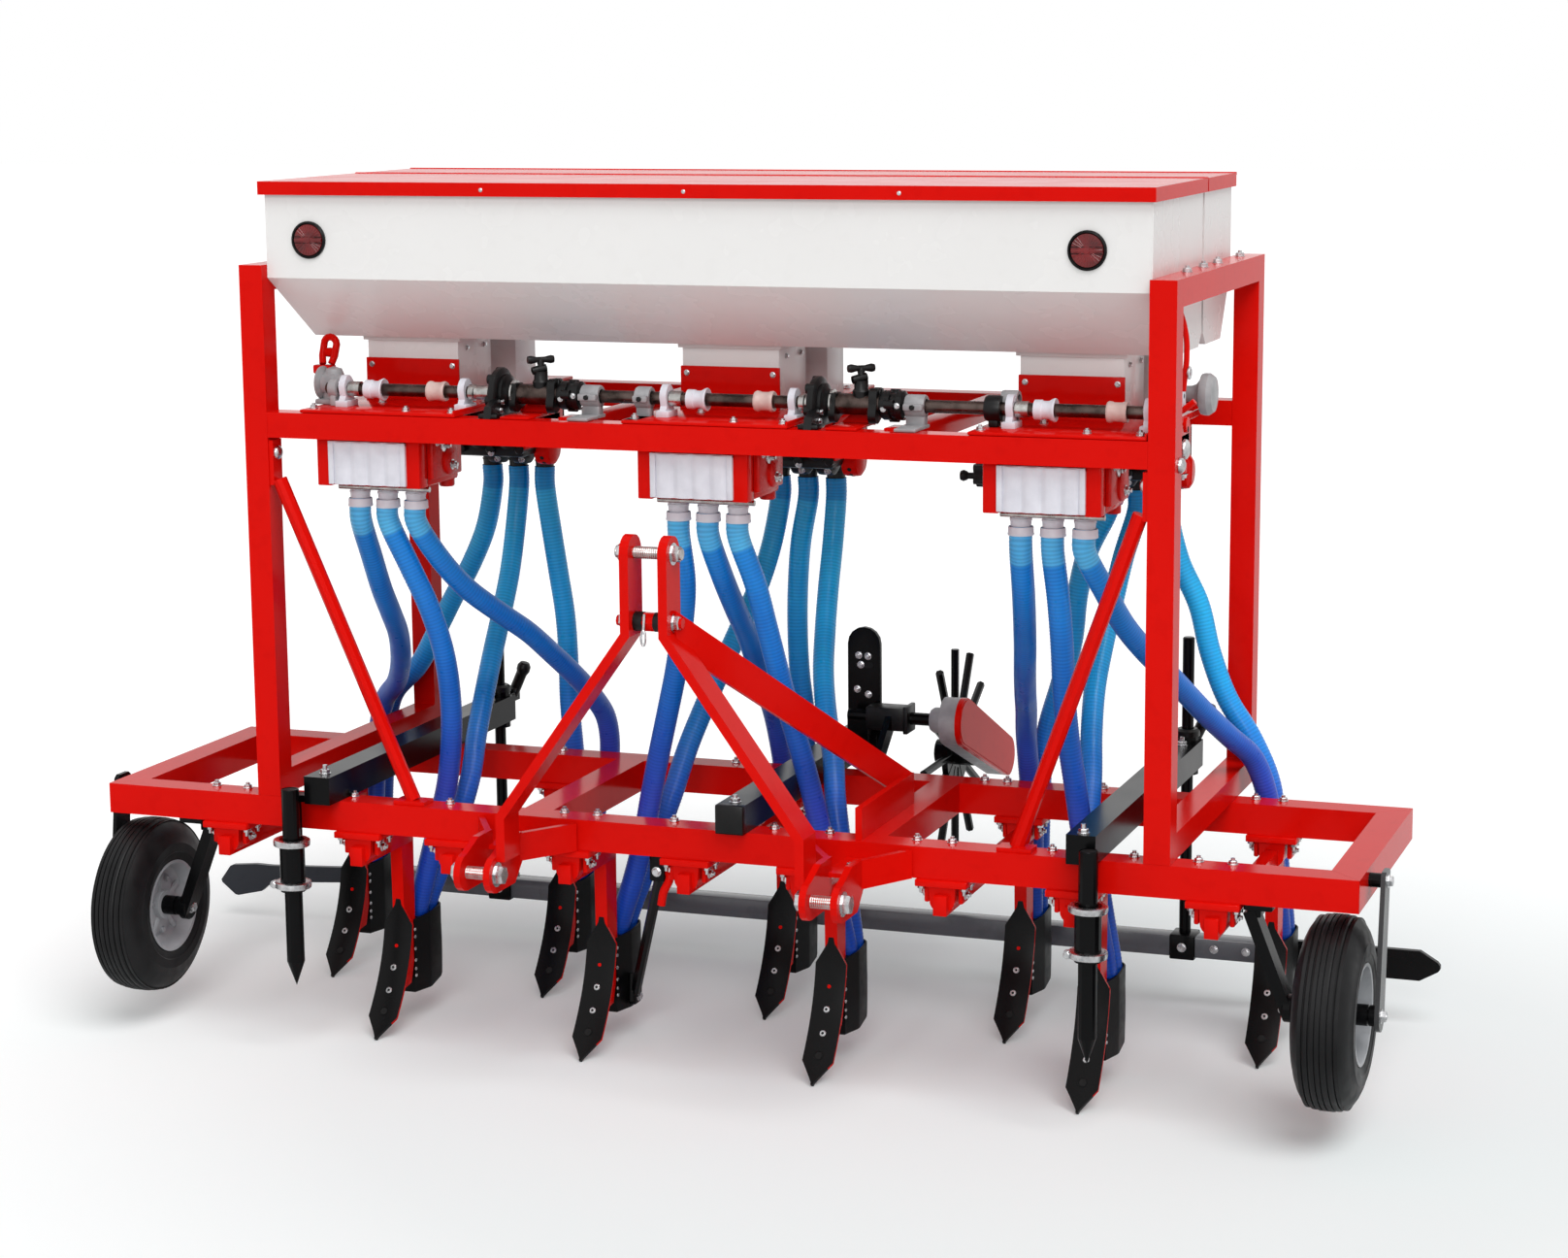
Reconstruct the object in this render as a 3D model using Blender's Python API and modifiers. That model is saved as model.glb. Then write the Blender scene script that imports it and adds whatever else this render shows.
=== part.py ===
"""Nine-row tractor-mounted seed drill, in metres, +Z up.

Pieces are described in the machine's own coordinates: x to the right, y to the rear from the front
face of the front beam, z up from the top face of the main frame. The "machine" empty carries them
to the place where the drill stands on its tine points.
"""

from math import atan2, cos, pi, radians, sin

import bmesh
import bpy
from mathutils import Matrix, Vector

# Main frame
FRAME_LENGTH = 2.30
FRAME_DEPTH = 0.53
FRAME_TUBE = 0.055
FRAME_WALL = 0.005
HITCH_HALF = 0.31
GAP = 0.0003

# Hopper frame
POST = 0.045
POST_OUTER = 0.84
SIDE_DEPTH = 0.68
SIDE_HEIGHT = 0.953
MID_RAIL_TOP = 0.695
BRACE_RADIUS = 0.013
BRACE_FEET_IN = {"left": 0.252, "right": 0.222}
BRACE_TOP = 0.575

# Tanks and lids
TANK_RIM = 1.095
TANK_FOLD = 0.93
TANK_FLOOR = 0.815
TANK_FRONT = 0.02
TANK_MIDDLE = 0.378
TANK_BETWEEN = 0.014
TANK_BACK = 0.604
TANK_SLOPE_FRONT = 0.17
TANK_SLOPE_BACK = 0.075
TANK_CORNER = 0.02
SHEET = 0.003
LID_OVERHANG = 0.0075
LID_LIP = 0.012
LID_SKIRT = 0.020
LID_HINGE_RADIUS = 0.003
TANK_CLEARANCE = 0.0005

# Metering units
GROUP_PITCH = 0.612
GROUP_SHIFT_REAR = 0.012
UNIT_HALF = 0.10
NECK_HALF = 0.09
NECK_FRONT = 0.215
NECK_FRONT_BACK = 0.36
NECK_REAR = 0.435
NECK_REAR_BACK = 0.525
DECK = 0.006
DECK_BACK = 0.40
FRONT_BOX = (POST + 0.005, 0.185)
REAR_BOX = (0.445, 0.63)
BOX_BOTTOM = 0.565
SPOUT_PITCH = 0.055
SPOUT_RADIUS = 0.019
SPOUT_BOTTOM = 0.535
FRONT_SPOUT_Y = 0.10
REAR_SPOUT_Y = 0.598
REAR_SPOUT_SHIFTS = (0.016, -0.006, 0.010)

# Front feed shaft
SHAFT_Y = 0.08
SHAFT_Z = 0.732
SHAFT_RADIUS = 0.011
SHAFT_PLAY = 0.0009
SHAFT_LEFT = -0.715
SHAFT_RIGHT = 0.800
SLEEVE_RADIUS = 0.017
BEARING_OFFSETS = (-0.066, 0.166)
BEARING_HALF = 0.009
CLUTCH_CENTRES = (-0.30, 0.285)
CLUTCH_DISC = 0.046
KNOB_X = 0.773
KNOB_Y = 0.36
KNOB_Z = 0.735
KNOB_FLANGE = 0.036

# Seed tubes
HOSE_RADIUS = 0.020
HOSE_WALL = 0.0025
HOSE_STEP = 0.085
HOSE_SIDES_RESOLUTION = 2
HOSE_PAIR = 0.0376
BOOT_MOUTH = 0.188
BOOT_MOUTH_Z = -0.262

# Tines
ROW_X = (-0.908, -0.641, -0.462, -0.235, -0.012, 0.202, 0.450, 0.676, 0.912)
FRAME_TOP = 0.455
TINE_FRONT_POINT = 0.06
TINE_REAR_POINT = FRAME_DEPTH - 0.13
RIB_HALF = 0.012
RIB_TOP = 0.0805
RIB_BOTTOM = 0.115
CLAMP_HALF = 0.045
SHANK_HALF = 0.010
SHOVEL_HALF = 0.0285
SHOVEL_PLATE = 0.007
SHOVEL_DROP = 0.005
SHOVEL_TOP = 0.215
BOOT_HALF = 0.0255
BOOT_WALL = 0.0025
STAY_ROW = 4

# Hitch
PIN_Y = -0.198
PIN_Z = -0.055
PIN_RADIUS = 0.011
EAR = 0.012
EAR_GAP = 0.043
MAST_HALF_GAP = 0.026
MAST_PLATE = 0.016
MAST_FRONT = -0.200
MAST_BACK = -0.140
MAST_TOP_PIN = 0.505
MAST_JOINT = 0.390
BRACE_BAR = 0.012
BRACE_BAR_DEPTH = 0.055

# Gauge wheels
WHEEL_X = FRAME_LENGTH / 2 - 0.045
WHEEL_Y = 0.055
WHEEL_Z = -0.238
WHEEL_RADIUS = 0.1615
WHEEL_WIDTH = 0.103
RIM_RADIUS = 0.083
AXLE_RADIUS = 0.010
AXLE_PLAY = 0.0008
FORK_REACH = 0.011
FORK_PLATE = 0.008

# Arms, stands and leveller
ARM_X = 0.70
ARM_TUBE = 0.050
ARM_FRONT = -0.040
ARM_BACK = FRAME_DEPTH + 0.245
STAND_X = {-1: -0.742, 1: 0.719}
STAND_Y = -0.061
STAND_RADIUS = 0.016
STAND_PLAY = 0.0009
SLEEVE_OUTER = 0.0225
ROD_Y = ARM_BACK - 0.04
ROD_RADIUS = 0.011
LEVELLER_SHIFT = -0.08
LEVELLER_HALF = 0.93
LEVELLER_Z = -0.340
LEVELLER_SIDE = 0.040
BLADE_LEFT = -1.346
BLADE_RIGHT = 1.176

# Drive wheel
CARRIER_X = 0.078
CARRIER_FRONT = -0.022
CARRIER_BACK = FRAME_DEPTH + 0.16
PIVOT_Y = FRAME_DEPTH + 0.08
PIVOT_Z = 0.085
PIVOT_RADIUS = 0.012
HUB_Y = FRAME_DEPTH + 0.37
HUB_Z = -0.040
CASE_X = 0.290
DRIVE_WHEEL_X = 0.200
PEG_LENGTH = 0.205
PEG_COUNT = 12

# Where the machine stands in the row's frame: over the middle of its own outline, on its tine points
OUTLINE_LEFT = BLADE_LEFT
OUTLINE_RIGHT = WHEEL_X + WHEEL_WIDTH / 2 + 0.024 + FORK_REACH
OUTLINE_FRONT = PIN_Y - 0.032
OUTLINE_BACK = HUB_Y + PEG_LENGTH
MACHINE_AT = Vector(
    (-(OUTLINE_LEFT + OUTLINE_RIGHT) / 2, -(OUTLINE_FRONT + OUTLINE_BACK) / 2, FRAME_TOP)
)

COLOURS = {
    "red_paint": ((0.78, 0.02, 0.01), 0.35, 0.0),
    "white_paint": ((0.86, 0.85, 0.83), 0.40, 0.0),
    "black_paint": ((0.012, 0.012, 0.013), 0.40, 0.0),
    "grey_paint": ((0.16, 0.17, 0.19), 0.45, 0.0),
    "dark_steel": ((0.07, 0.06, 0.055), 0.45, 1.0),
    "blue_hose": ((0.02, 0.15, 0.60), 0.30, 0.0),
    "rubber": ((0.02, 0.02, 0.021), 0.65, 0.0),
}

machine = None
collection = None


def start():
    """Clears the scene and makes the machine's empty and collection."""
    global machine, collection
    for old in list(bpy.data.objects):
        bpy.data.objects.remove(old)
    collection = bpy.data.collections.new("seed_planter")
    bpy.context.scene.collection.children.link(collection)
    machine = empty("machine", MACHINE_AT, None)


def empty(name, at, parent):
    thing = bpy.data.objects.new(name, None)
    collection.objects.link(thing)
    thing.parent = parent
    thing.location = at
    return thing


def from_mesh(name, mesh):
    thing = bpy.data.objects.new(name, mesh)
    collection.objects.link(thing)
    return thing


def bake(thing):
    """Turns a curve, or a mesh with modifiers, into a plain mesh object in machine coordinates."""
    depsgraph = bpy.context.evaluated_depsgraph_get()
    mesh = bpy.data.meshes.new_from_object(thing.evaluated_get(depsgraph))
    mesh.transform(thing.matrix_world)
    clean = bmesh.new()
    clean.from_mesh(mesh)
    bmesh.ops.remove_doubles(clean, verts=clean.verts, dist=0.00001)
    bmesh.ops.recalc_face_normals(clean, faces=clean.faces)
    clean.to_mesh(mesh)
    clean.free()
    name = thing.name
    bpy.data.objects.remove(thing)
    return from_mesh(name, mesh)


def boolean(base, tools, operation):
    for tool in tools:
        modifier = base.modifiers.new(operation.lower(), "BOOLEAN")
        modifier.operation = operation
        modifier.object = tool
    base = bake(base)
    for tool in tools:
        bpy.data.objects.remove(tool)
    return base


def join(base, *others):
    return boolean(base, others, "UNION")


def cut(base, *others):
    return boolean(base, others, "DIFFERENCE")


def block(low, high):
    """A box between two corners."""
    build = bmesh.new()
    bmesh.ops.create_cube(build, size=1.0)
    middle = [(a + b) / 2 for a, b in zip(low, high)]
    size = [b - a for a, b in zip(low, high)]
    bmesh.ops.transform(build, matrix=Matrix.LocRotScale(middle, None, size), verts=build.verts)
    mesh = bpy.data.meshes.new("block")
    build.to_mesh(mesh)
    build.free()
    return from_mesh("block", mesh)


def rod(start_at, end_at, radius, sides=12, end_radius=None):
    """A round bar between two points, or a taper when end_radius is given."""
    start_at, end_at = Vector(start_at), Vector(end_at)
    along = end_at - start_at
    build = bmesh.new()
    bmesh.ops.create_cone(
        build,
        cap_ends=True,
        segments=sides,
        radius1=radius,
        radius2=radius if end_radius is None else end_radius,
        depth=along.length,
    )
    turn = Vector((0, 0, 1)).rotation_difference(along).to_matrix().to_4x4()
    place = Matrix.Translation((start_at + end_at) / 2) @ turn
    bmesh.ops.transform(build, matrix=place, verts=build.verts)
    mesh = bpy.data.meshes.new("rod")
    build.to_mesh(mesh)
    build.free()
    return from_mesh("rod", mesh)


PLANES = {
    "X": Matrix(((0, 0, 1, 0), (1, 0, 0, 0), (0, 1, 0, 0), (0, 0, 0, 1))),
    "Y": Matrix(((1, 0, 0, 0), (0, 0, -1, 0), (0, 1, 0, 0), (0, 0, 0, 1))),
    "Z": Matrix.Identity(4),
}


def plate(outlines, normal, low, high):
    """Flat outlines (the first one outside, the rest holes) extruded between low and high along normal.
    Outline points are (y, z) for normal X, (x, z) for Y and (x, y) for Z."""
    curve = bpy.data.curves.new("plate", "CURVE")
    curve.dimensions = "2D"
    curve.fill_mode = "BOTH"
    curve.extrude = (high - low) / 2
    for outline in outlines:
        spline = curve.splines.new("POLY")
        spline.points.add(len(outline) - 1)
        for point, (a, b) in zip(spline.points, outline):
            point.co = (a, b, 0, 1)
        spline.use_cyclic_u = True
    thing = from_mesh("plate", curve)
    middle = [0.0, 0.0, 0.0]
    middle["XYZ".index(normal)] = (low + high) / 2
    thing.matrix_world = Matrix.Translation(middle) @ PLANES[normal]
    return bake(thing)


def turned(profile, at, axis, sides, closed=False):
    """A profile of (radius, height) points turned about an axis through at. It runs down its outer
    side, top to bottom; closed makes a ring with a bore."""
    mesh = bpy.data.meshes.new("turned")
    count = len(profile)
    edges = [(i, i + 1) for i in range(count - 1)] + ([(count - 1, 0)] if closed else [])
    mesh.from_pydata([(r, 0, h) for r, h in profile], edges, [])
    thing = from_mesh("turned", mesh)
    screw = thing.modifiers.new("turn", "SCREW")
    screw.steps = screw.render_steps = sides
    screw.use_merge_vertices = True
    screw.merge_threshold = 0.00001
    if axis == "X":
        thing.rotation_euler = (0, pi / 2, 0)
    if axis == "Y":
        thing.rotation_euler = (-pi / 2, 0, 0)
    thing.location = at
    bpy.context.view_layer.update()
    return bake(thing)


def strip(points, width):
    """The outline of a bar of constant width that follows open points, with mitred bends."""
    points = [Vector(p) for p in points]
    left, right = [], []
    for i, here in enumerate(points):
        before = (here - points[i - 1]).normalized() if i else None
        after = (points[i + 1] - here).normalized() if i < len(points) - 1 else None
        before, after = before or after, after or before
        middle = (before + after).normalized()
        out = Vector((-middle.y, middle.x))
        reach = width / 2 / out.dot(Vector((-after.y, after.x)))
        left.append(tuple(here + out * reach))
        right.append(tuple(here - out * reach))
    return left + right[::-1]


def arc(centre, radius, first, last, steps):
    """Points on an arc, angles in degrees."""
    angles = [radians(first + (last - first) * i / steps) for i in range(steps + 1)]
    return [(centre[0] + radius * cos(a), centre[1] + radius * sin(a)) for a in angles]


def inset(outline, wall):
    """A convex counter-clockwise outline moved in by a wall."""
    lines = []
    for i, here in enumerate(outline):
        there = outline[(i + 1) % len(outline)]
        along = Vector((there[0] - here[0], there[1] - here[1])).normalized()
        inward = Vector((-along.y, along.x))
        lines.append((Vector(here) + inward * wall, along))
    inner = []
    for i, (start_at, along) in enumerate(lines):
        other_start, other = lines[i - 1]
        across = other.x * along.y - other.y * along.x
        offset = start_at - other_start
        reach = (offset.x * along.y - offset.y * along.x) / across
        inner.append(tuple(other_start + other * reach))
    return inner


def material(name):
    found = bpy.data.materials.get(name)
    if found:
        return found
    colour, roughness, metallic = COLOURS[name]
    found = bpy.data.materials.new(name)
    found.use_nodes = True
    shader = found.node_tree.nodes["Principled BSDF"]
    shader.inputs["Base Color"].default_value = (*colour, 1.0)
    shader.inputs["Roughness"].default_value = roughness
    shader.inputs["Metallic"].default_value = metallic
    return found


def node(thing, name, colour, origin=(0, 0, 0), parent=None, smooth=True):
    """Names a finished piece, and puts its origin on origin, in machine coordinates."""
    mesh = thing.data
    origin = Vector(origin)
    mesh.transform(Matrix.Translation(-origin))
    mesh.materials.clear()
    mesh.materials.append(material(colour))
    if smooth:
        mesh.shade_smooth()
        mesh.set_sharp_from_angle(angle=radians(32))
    thing.name = mesh.name = name
    thing.parent = parent or machine
    thing.location = origin - (parent.location if parent else Vector())
    return thing


def copy_of(first, name, origin):
    """Another object that shares the first one's mesh."""
    thing = bpy.data.objects.new(name, first.data)
    collection.objects.link(thing)
    thing.parent = first.parent
    thing.location = origin
    return thing


# Main frame


def hollow_tube(axis, low, high, wall):
    """A square tube open at both ends, along X or Y."""
    across = {"X": (1, 2), "Y": (0, 2)}[axis]
    a0, b0 = low[across[0]], low[across[1]]
    a1, b1 = high[across[0]], high[across[1]]
    outer = [(a0, b0), (a1, b0), (a1, b1), (a0, b1)]
    along = "XY".index(axis)
    return plate([outer, inset(outer, wall)], axis, low[along], high[along])


def mitre(tube, along, across, outer, middle):
    """Cuts both ends at 45 degrees, longest at the outer face."""
    for vertex in tube.data.vertices:
        depth = abs(vertex.co[across] - outer)
        side = 1 if vertex.co[along] > middle else -1
        vertex.co[along] -= side * (depth + GAP)
    return tube


def main_frame():
    half = FRAME_LENGTH / 2
    for name, low, outer in (
        ("front_beam", 0.0, 0.0),
        ("rear_beam", FRAME_DEPTH - FRAME_TUBE, FRAME_DEPTH),
    ):
        corner = (-half, low, -FRAME_TUBE)
        tube = hollow_tube("X", corner, (half, low + FRAME_TUBE, 0), FRAME_WALL)
        node(mitre(tube, 0, 1, outer, 0.0), name, "red_paint")
    for name, sign in (("end_beam_left", -1), ("end_beam_right", 1)):
        inner, outer = sorted((sign * (half - FRAME_TUBE), sign * half))
        tube = hollow_tube("Y", (inner, 0, -FRAME_TUBE), (outer, FRAME_DEPTH, 0), FRAME_WALL)
        node(mitre(tube, 1, 0, sign * half, FRAME_DEPTH / 2), name, "red_paint")
    for name, sign in (("cross_tube_left", -1), ("cross_tube_right", 1)):
        centre = sign * HITCH_HALF
        low = (centre - FRAME_TUBE / 2, FRAME_TUBE + GAP, -FRAME_TUBE)
        high = (centre + FRAME_TUBE / 2, FRAME_DEPTH - FRAME_TUBE - GAP, 0)
        node(hollow_tube("Y", low, high, FRAME_WALL), name, "red_paint")


# Hopper frame


def side_frame(name, sign):
    """Front and rear posts with a top rail and a foot tube, welded into one frame."""
    bottom = GAP
    outer = [(0, bottom), (SIDE_DEPTH, bottom), (SIDE_DEPTH, SIDE_HEIGHT), (0, SIDE_HEIGHT)]
    window = inset(outer, POST)
    inner_x, outer_x = sorted((sign * (POST_OUTER - POST), sign * POST_OUTER))
    node(plate([outer, window], "X", inner_x, outer_x), name, "red_paint", (sign * POST_OUTER, 0, 0))


def mid_rail(name, front):
    reach = POST_OUTER - POST - GAP
    low = (-reach, front, MID_RAIL_TOP - POST)
    tube = hollow_tube("X", low, (reach, front + POST, MID_RAIL_TOP), 0.003)
    node(tube, name, "red_paint")


def corner_brace(side, sign):
    """A round strut from a lug on the front post down to a foot on the front beam."""
    post_face = POST_OUTER - POST - GAP
    top = (sign * (post_face - BRACE_RADIUS - 0.0005), 0.014, BRACE_TOP)
    foot = (sign * (post_face - BRACE_FEET_IN[side]), POST / 2 + 0.006, 0.006)
    strut = rod(top, foot, BRACE_RADIUS, 10)
    lug_x = sorted((sign * (post_face - 0.008), sign * post_face))
    lug_top = MID_RAIL_TOP - POST - 0.005
    lug = block((lug_x[0], 0.003, BRACE_TOP - 0.010), (lug_x[1], 0.035, lug_top))
    pad = block((foot[0] - 0.03, 0.008, GAP), (foot[0] + 0.03, 0.046, 0.007))
    below = block((foot[0] - 0.1, -0.1, -0.1), (foot[0] + 0.1, 0.2, GAP))
    node(cut(join(strut, lug, pad), below), f"corner_brace_{side}", "red_paint")


def hopper_frame():
    side_frame("side_frame_left", -1)
    side_frame("side_frame_right", 1)
    mid_rail("mid_rail_front", 0.0)
    mid_rail("mid_rail_rear", SIDE_DEPTH - POST)
    corner_brace("left", -1)
    corner_brace("right", 1)


# Tanks


def tank_half():
    return POST_OUTER - POST - TANK_CLEARANCE


def tank_outlines():
    """The outer outlines of the front and rear tanks, as (y, z), counter-clockwise."""
    front = [
        (TANK_FRONT + TANK_SLOPE_FRONT, TANK_FLOOR),
        (TANK_MIDDLE - TANK_CORNER, TANK_FLOOR),
        (TANK_MIDDLE, TANK_FLOOR + TANK_CORNER),
        (TANK_MIDDLE, TANK_RIM),
        (TANK_FRONT, TANK_RIM),
        (TANK_FRONT, TANK_FOLD),
    ]
    start_y = TANK_MIDDLE + TANK_BETWEEN
    rear = [
        (start_y + TANK_CORNER, TANK_FLOOR),
        (TANK_BACK - TANK_SLOPE_BACK, TANK_FLOOR),
        (TANK_BACK, TANK_FOLD),
        (TANK_BACK, TANK_RIM),
        (start_y, TANK_RIM),
        (start_y, TANK_FLOOR + TANK_CORNER),
    ]
    return front, rear


def tank(name, outline):
    """A trough of folded sheet with flat ends, open on top."""
    half = tank_half()
    body = plate([outline], "X", -half, half)
    inner = inset(outline, SHEET)
    inner = [(y, z + 0.1 if z > TANK_RIM - 2 * SHEET else z) for y, z in inner]
    hollow = plate([inner], "X", -half + SHEET, half - SHEET)
    node(cut(body, hollow), name, "white_paint", (0, outline[0][0], TANK_FLOOR))


def lid(name, front, back, front_skirt):
    """A shallow tray over a tank, with its hinge rod along the rear edge."""
    half = tank_half() + LID_OVERHANG
    top = TANK_RIM + GAP + SHEET
    outer = block((-half, front, TANK_RIM - LID_SKIRT), (half, back, top))
    inner_front = front + SHEET if front_skirt else front - 0.05
    inner_low = (-half + SHEET, inner_front, TANK_RIM - 0.05)
    inner = block(inner_low, (half - SHEET, back + 0.05, TANK_RIM + GAP))
    tray = cut(outer, inner)
    hinge_z = TANK_RIM + GAP + SHEET / 2
    hinge = rod((-half, back, hinge_z), (half, back, hinge_z), LID_HINGE_RADIUS, 8)
    node(join(tray, hinge), name, "red_paint", (0, back, hinge_z))


def tanks():
    front, rear = tank_outlines()
    tank("front_tank", front)
    tank("rear_tank", rear)
    front_back = TANK_MIDDLE + LID_HINGE_RADIUS + 0.001
    lid("front_lid", TANK_FRONT - LID_LIP, front_back, True)
    lid("rear_lid", front_back + LID_HINGE_RADIUS + 0.004, TANK_BACK + 0.005, False)


# Metering units


def spout(x, y):
    return rod((x, y, BOX_BOTTOM + 0.01), (x, y, SPOUT_BOTTOM), SPOUT_RADIUS, 10)


def front_unit(number, centre):
    """Neck under the front tank, deck plate on the mid rail, gear box and outlet block with spouts."""
    floor = MID_RAIL_TOP + GAP
    deck_left, deck_right = centre - UNIT_HALF - 0.02, centre + UNIT_HALF + 0.080
    deck = block((deck_left, 0.004, floor), (deck_right, DECK_BACK, floor + DECK))
    neck = block(
        (centre - NECK_HALF, NECK_FRONT, floor), (centre + NECK_HALF, NECK_FRONT_BACK, TANK_FLOOR - GAP)
    )
    cover_top = floor + 0.075
    cover = block(
        (centre - NECK_HALF - 0.002, NECK_FRONT - 0.003, floor),
        (centre + NECK_HALF + 0.002, NECK_FRONT + 0.01, cover_top),
    )
    left, right = centre - UNIT_HALF, centre + UNIT_HALF
    box = block((left, FRONT_BOX[0], BOX_BOTTOM), (right, FRONT_BOX[1], floor + 0.002))
    under_rail = MID_RAIL_TOP - POST - GAP
    face = block((left, 0.026, BOX_BOTTOM), (right, FRONT_BOX[0] + 0.01, under_rail))
    outlet = block(
        (centre - 0.075, 0.018, BOX_BOTTOM + 0.004), (centre + 0.075, 0.03, under_rail - 0.004)
    )
    spouts = [spout(centre + step * SPOUT_PITCH, FRONT_SPOUT_Y) for step in (-1, 0, 1)]
    bearings = []
    for offset in BEARING_OFFSETS:
        x = centre + offset
        bearings.append(
            block(
                (x - BEARING_HALF, SHAFT_Y - 0.02, floor + 0.001),
                (x + BEARING_HALF, SHAFT_Y + 0.02, SHAFT_Z + 0.024),
            )
        )
    bore = rod(
        (deck_left, SHAFT_Y, SHAFT_Z), (deck_right, SHAFT_Y, SHAFT_Z), SHAFT_RADIUS + SHAFT_PLAY, 12
    )
    whole = join(deck, neck, cover, box, face, outlet, *spouts, *bearings)
    if number == 3:
        whole = join(whole, *end_knob(floor + DECK))
    node(cut(whole, bore), f"front_meter_{number}", "red_paint", (centre, 0, floor))


def end_knob(deck_top):
    """The bell-shaped hand knob at the right end, on a stub in a block on the last front deck."""
    x = KNOB_X
    block_left, block_right = x - 0.032, x - 0.014
    stand = block(
        (block_left, KNOB_Y - 0.02, deck_top - 0.001), (block_right, KNOB_Y + 0.02, KNOB_Z + 0.022)
    )
    stub = rod((block_left + 0.004, KNOB_Y, KNOB_Z), (x + 0.004, KNOB_Y, KNOB_Z), 0.010, 12)
    profile = [(0, x + 0.054), (KNOB_FLANGE - 0.003, x + 0.054), (KNOB_FLANGE, x + 0.048)]
    profile += [(KNOB_FLANGE, x + 0.040), (KNOB_FLANGE - 0.002, x + 0.034), (0.018, x + 0.028)]
    profile += [(0.0135, x + 0.018), (0.0135, x), (0, x)]
    bell = turned(profile, (0, KNOB_Y, KNOB_Z), "X", 16)
    return [stand, stub, bell]


def rear_unit(number, centre, spout_shift):
    """Neck under the rear tank, deck plate on the rear mid rail and metering box with spouts."""
    floor = MID_RAIL_TOP + GAP
    left, right = centre - UNIT_HALF, centre + UNIT_HALF
    deck = block((left, NECK_REAR - 0.02, floor), (right, SIDE_DEPTH - 0.004, floor + DECK))
    neck = block(
        (centre - NECK_HALF, NECK_REAR, floor), (centre + NECK_HALF, NECK_REAR_BACK, TANK_FLOOR - GAP)
    )
    box = block((left, REAR_BOX[0], BOX_BOTTOM), (right, REAR_BOX[1], floor + 0.002))
    spouts = [spout(centre + spout_shift + step * SPOUT_PITCH, REAR_SPOUT_Y) for step in (-1, 0, 1)]
    whole = join(deck, neck, box, *spouts)
    node(whole, f"rear_meter_{number}", "black_paint", (centre, SIDE_DEPTH, floor))


def group_centres():
    return [-GROUP_PITCH, 0.0, GROUP_PITCH]


def feed_shaft():
    """The front feed shaft with its sleeves."""
    r, s = SHAFT_RADIUS, SLEEVE_RADIUS
    profile = [(0, SHAFT_RIGHT), (r, SHAFT_RIGHT)]
    for centre in reversed(group_centres()):
        for offset in (0.105, -0.020):
            middle = centre + offset
            high, low = middle + 0.016, middle - 0.016
            profile += [(r, high), (s, high), (s, low), (r, low)]
    profile += [(r, SHAFT_LEFT), (0, SHAFT_LEFT)]
    shaft = turned(profile, (0, SHAFT_Y, SHAFT_Z), "X", 12)
    node(shaft, "feed_shaft", "dark_steel", (0, SHAFT_Y, SHAFT_Z))


def clutch(number, centre):
    """A black casting round the shaft, on a foot on the front mid rail, with a boss for its clamp knob."""
    floor = MID_RAIL_TOP + GAP

    def round_shaft(left, right, radius, sides):
        return rod(
            (centre + left, SHAFT_Y, SHAFT_Z), (centre + right, SHAFT_Y, SHAFT_Z), radius, sides
        )

    disc = round_shaft(-0.085, -0.060, CLUTCH_DISC, 16)
    sleeve = round_shaft(-0.07, 0.07, 0.018, 12)
    collar = round_shaft(0.055, 0.085, 0.026, 12)
    foot = block((centre - 0.078, 0.004, floor), (centre - 0.062, SHAFT_Y + 0.03, SHAFT_Z - 0.01))
    stem = rod((centre, SHAFT_Y, SHAFT_Z + 0.008), (centre, SHAFT_Y, SHAFT_Z + 0.040), 0.012, 10)
    bore = round_shaft(-0.1, 0.1, SHAFT_RADIUS + SHAFT_PLAY, 12)
    trim = block((centre - 0.2, -0.1, floor - 0.1), (centre + 0.2, 0.2, floor))
    whole = cut(join(disc, sleeve, collar, foot, stem), bore, trim)
    node(whole, f"clutch_{number}", "black_paint", (centre, SHAFT_Y, SHAFT_Z))
    base = SHAFT_Z + 0.040 + GAP
    knob = join(
        rod((centre, SHAFT_Y, base), (centre, SHAFT_Y, base + 0.016), 0.007, 10),
        rod((centre - 0.024, SHAFT_Y, base + 0.020), (centre + 0.024, SHAFT_Y, base + 0.020), 0.007, 8),
    )
    node(knob, f"clamp_knob_{number}", "black_paint", (centre, SHAFT_Y, base))


def metering():
    for i, centre in enumerate(group_centres()):
        front_unit(i + 1, centre)
        rear_unit(i + 1, centre + GROUP_SHIFT_REAR, REAR_SPOUT_SHIFTS[i])
    feed_shaft()
    for i, centre in enumerate(CLUTCH_CENTRES):
        clutch(i + 1, centre)


# Tines


def rows():
    """Each row's number, x and whether it is in the front rank."""
    return [(i + 1, x, i % 2 == 1) for i, x in enumerate(ROW_X)]


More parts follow.
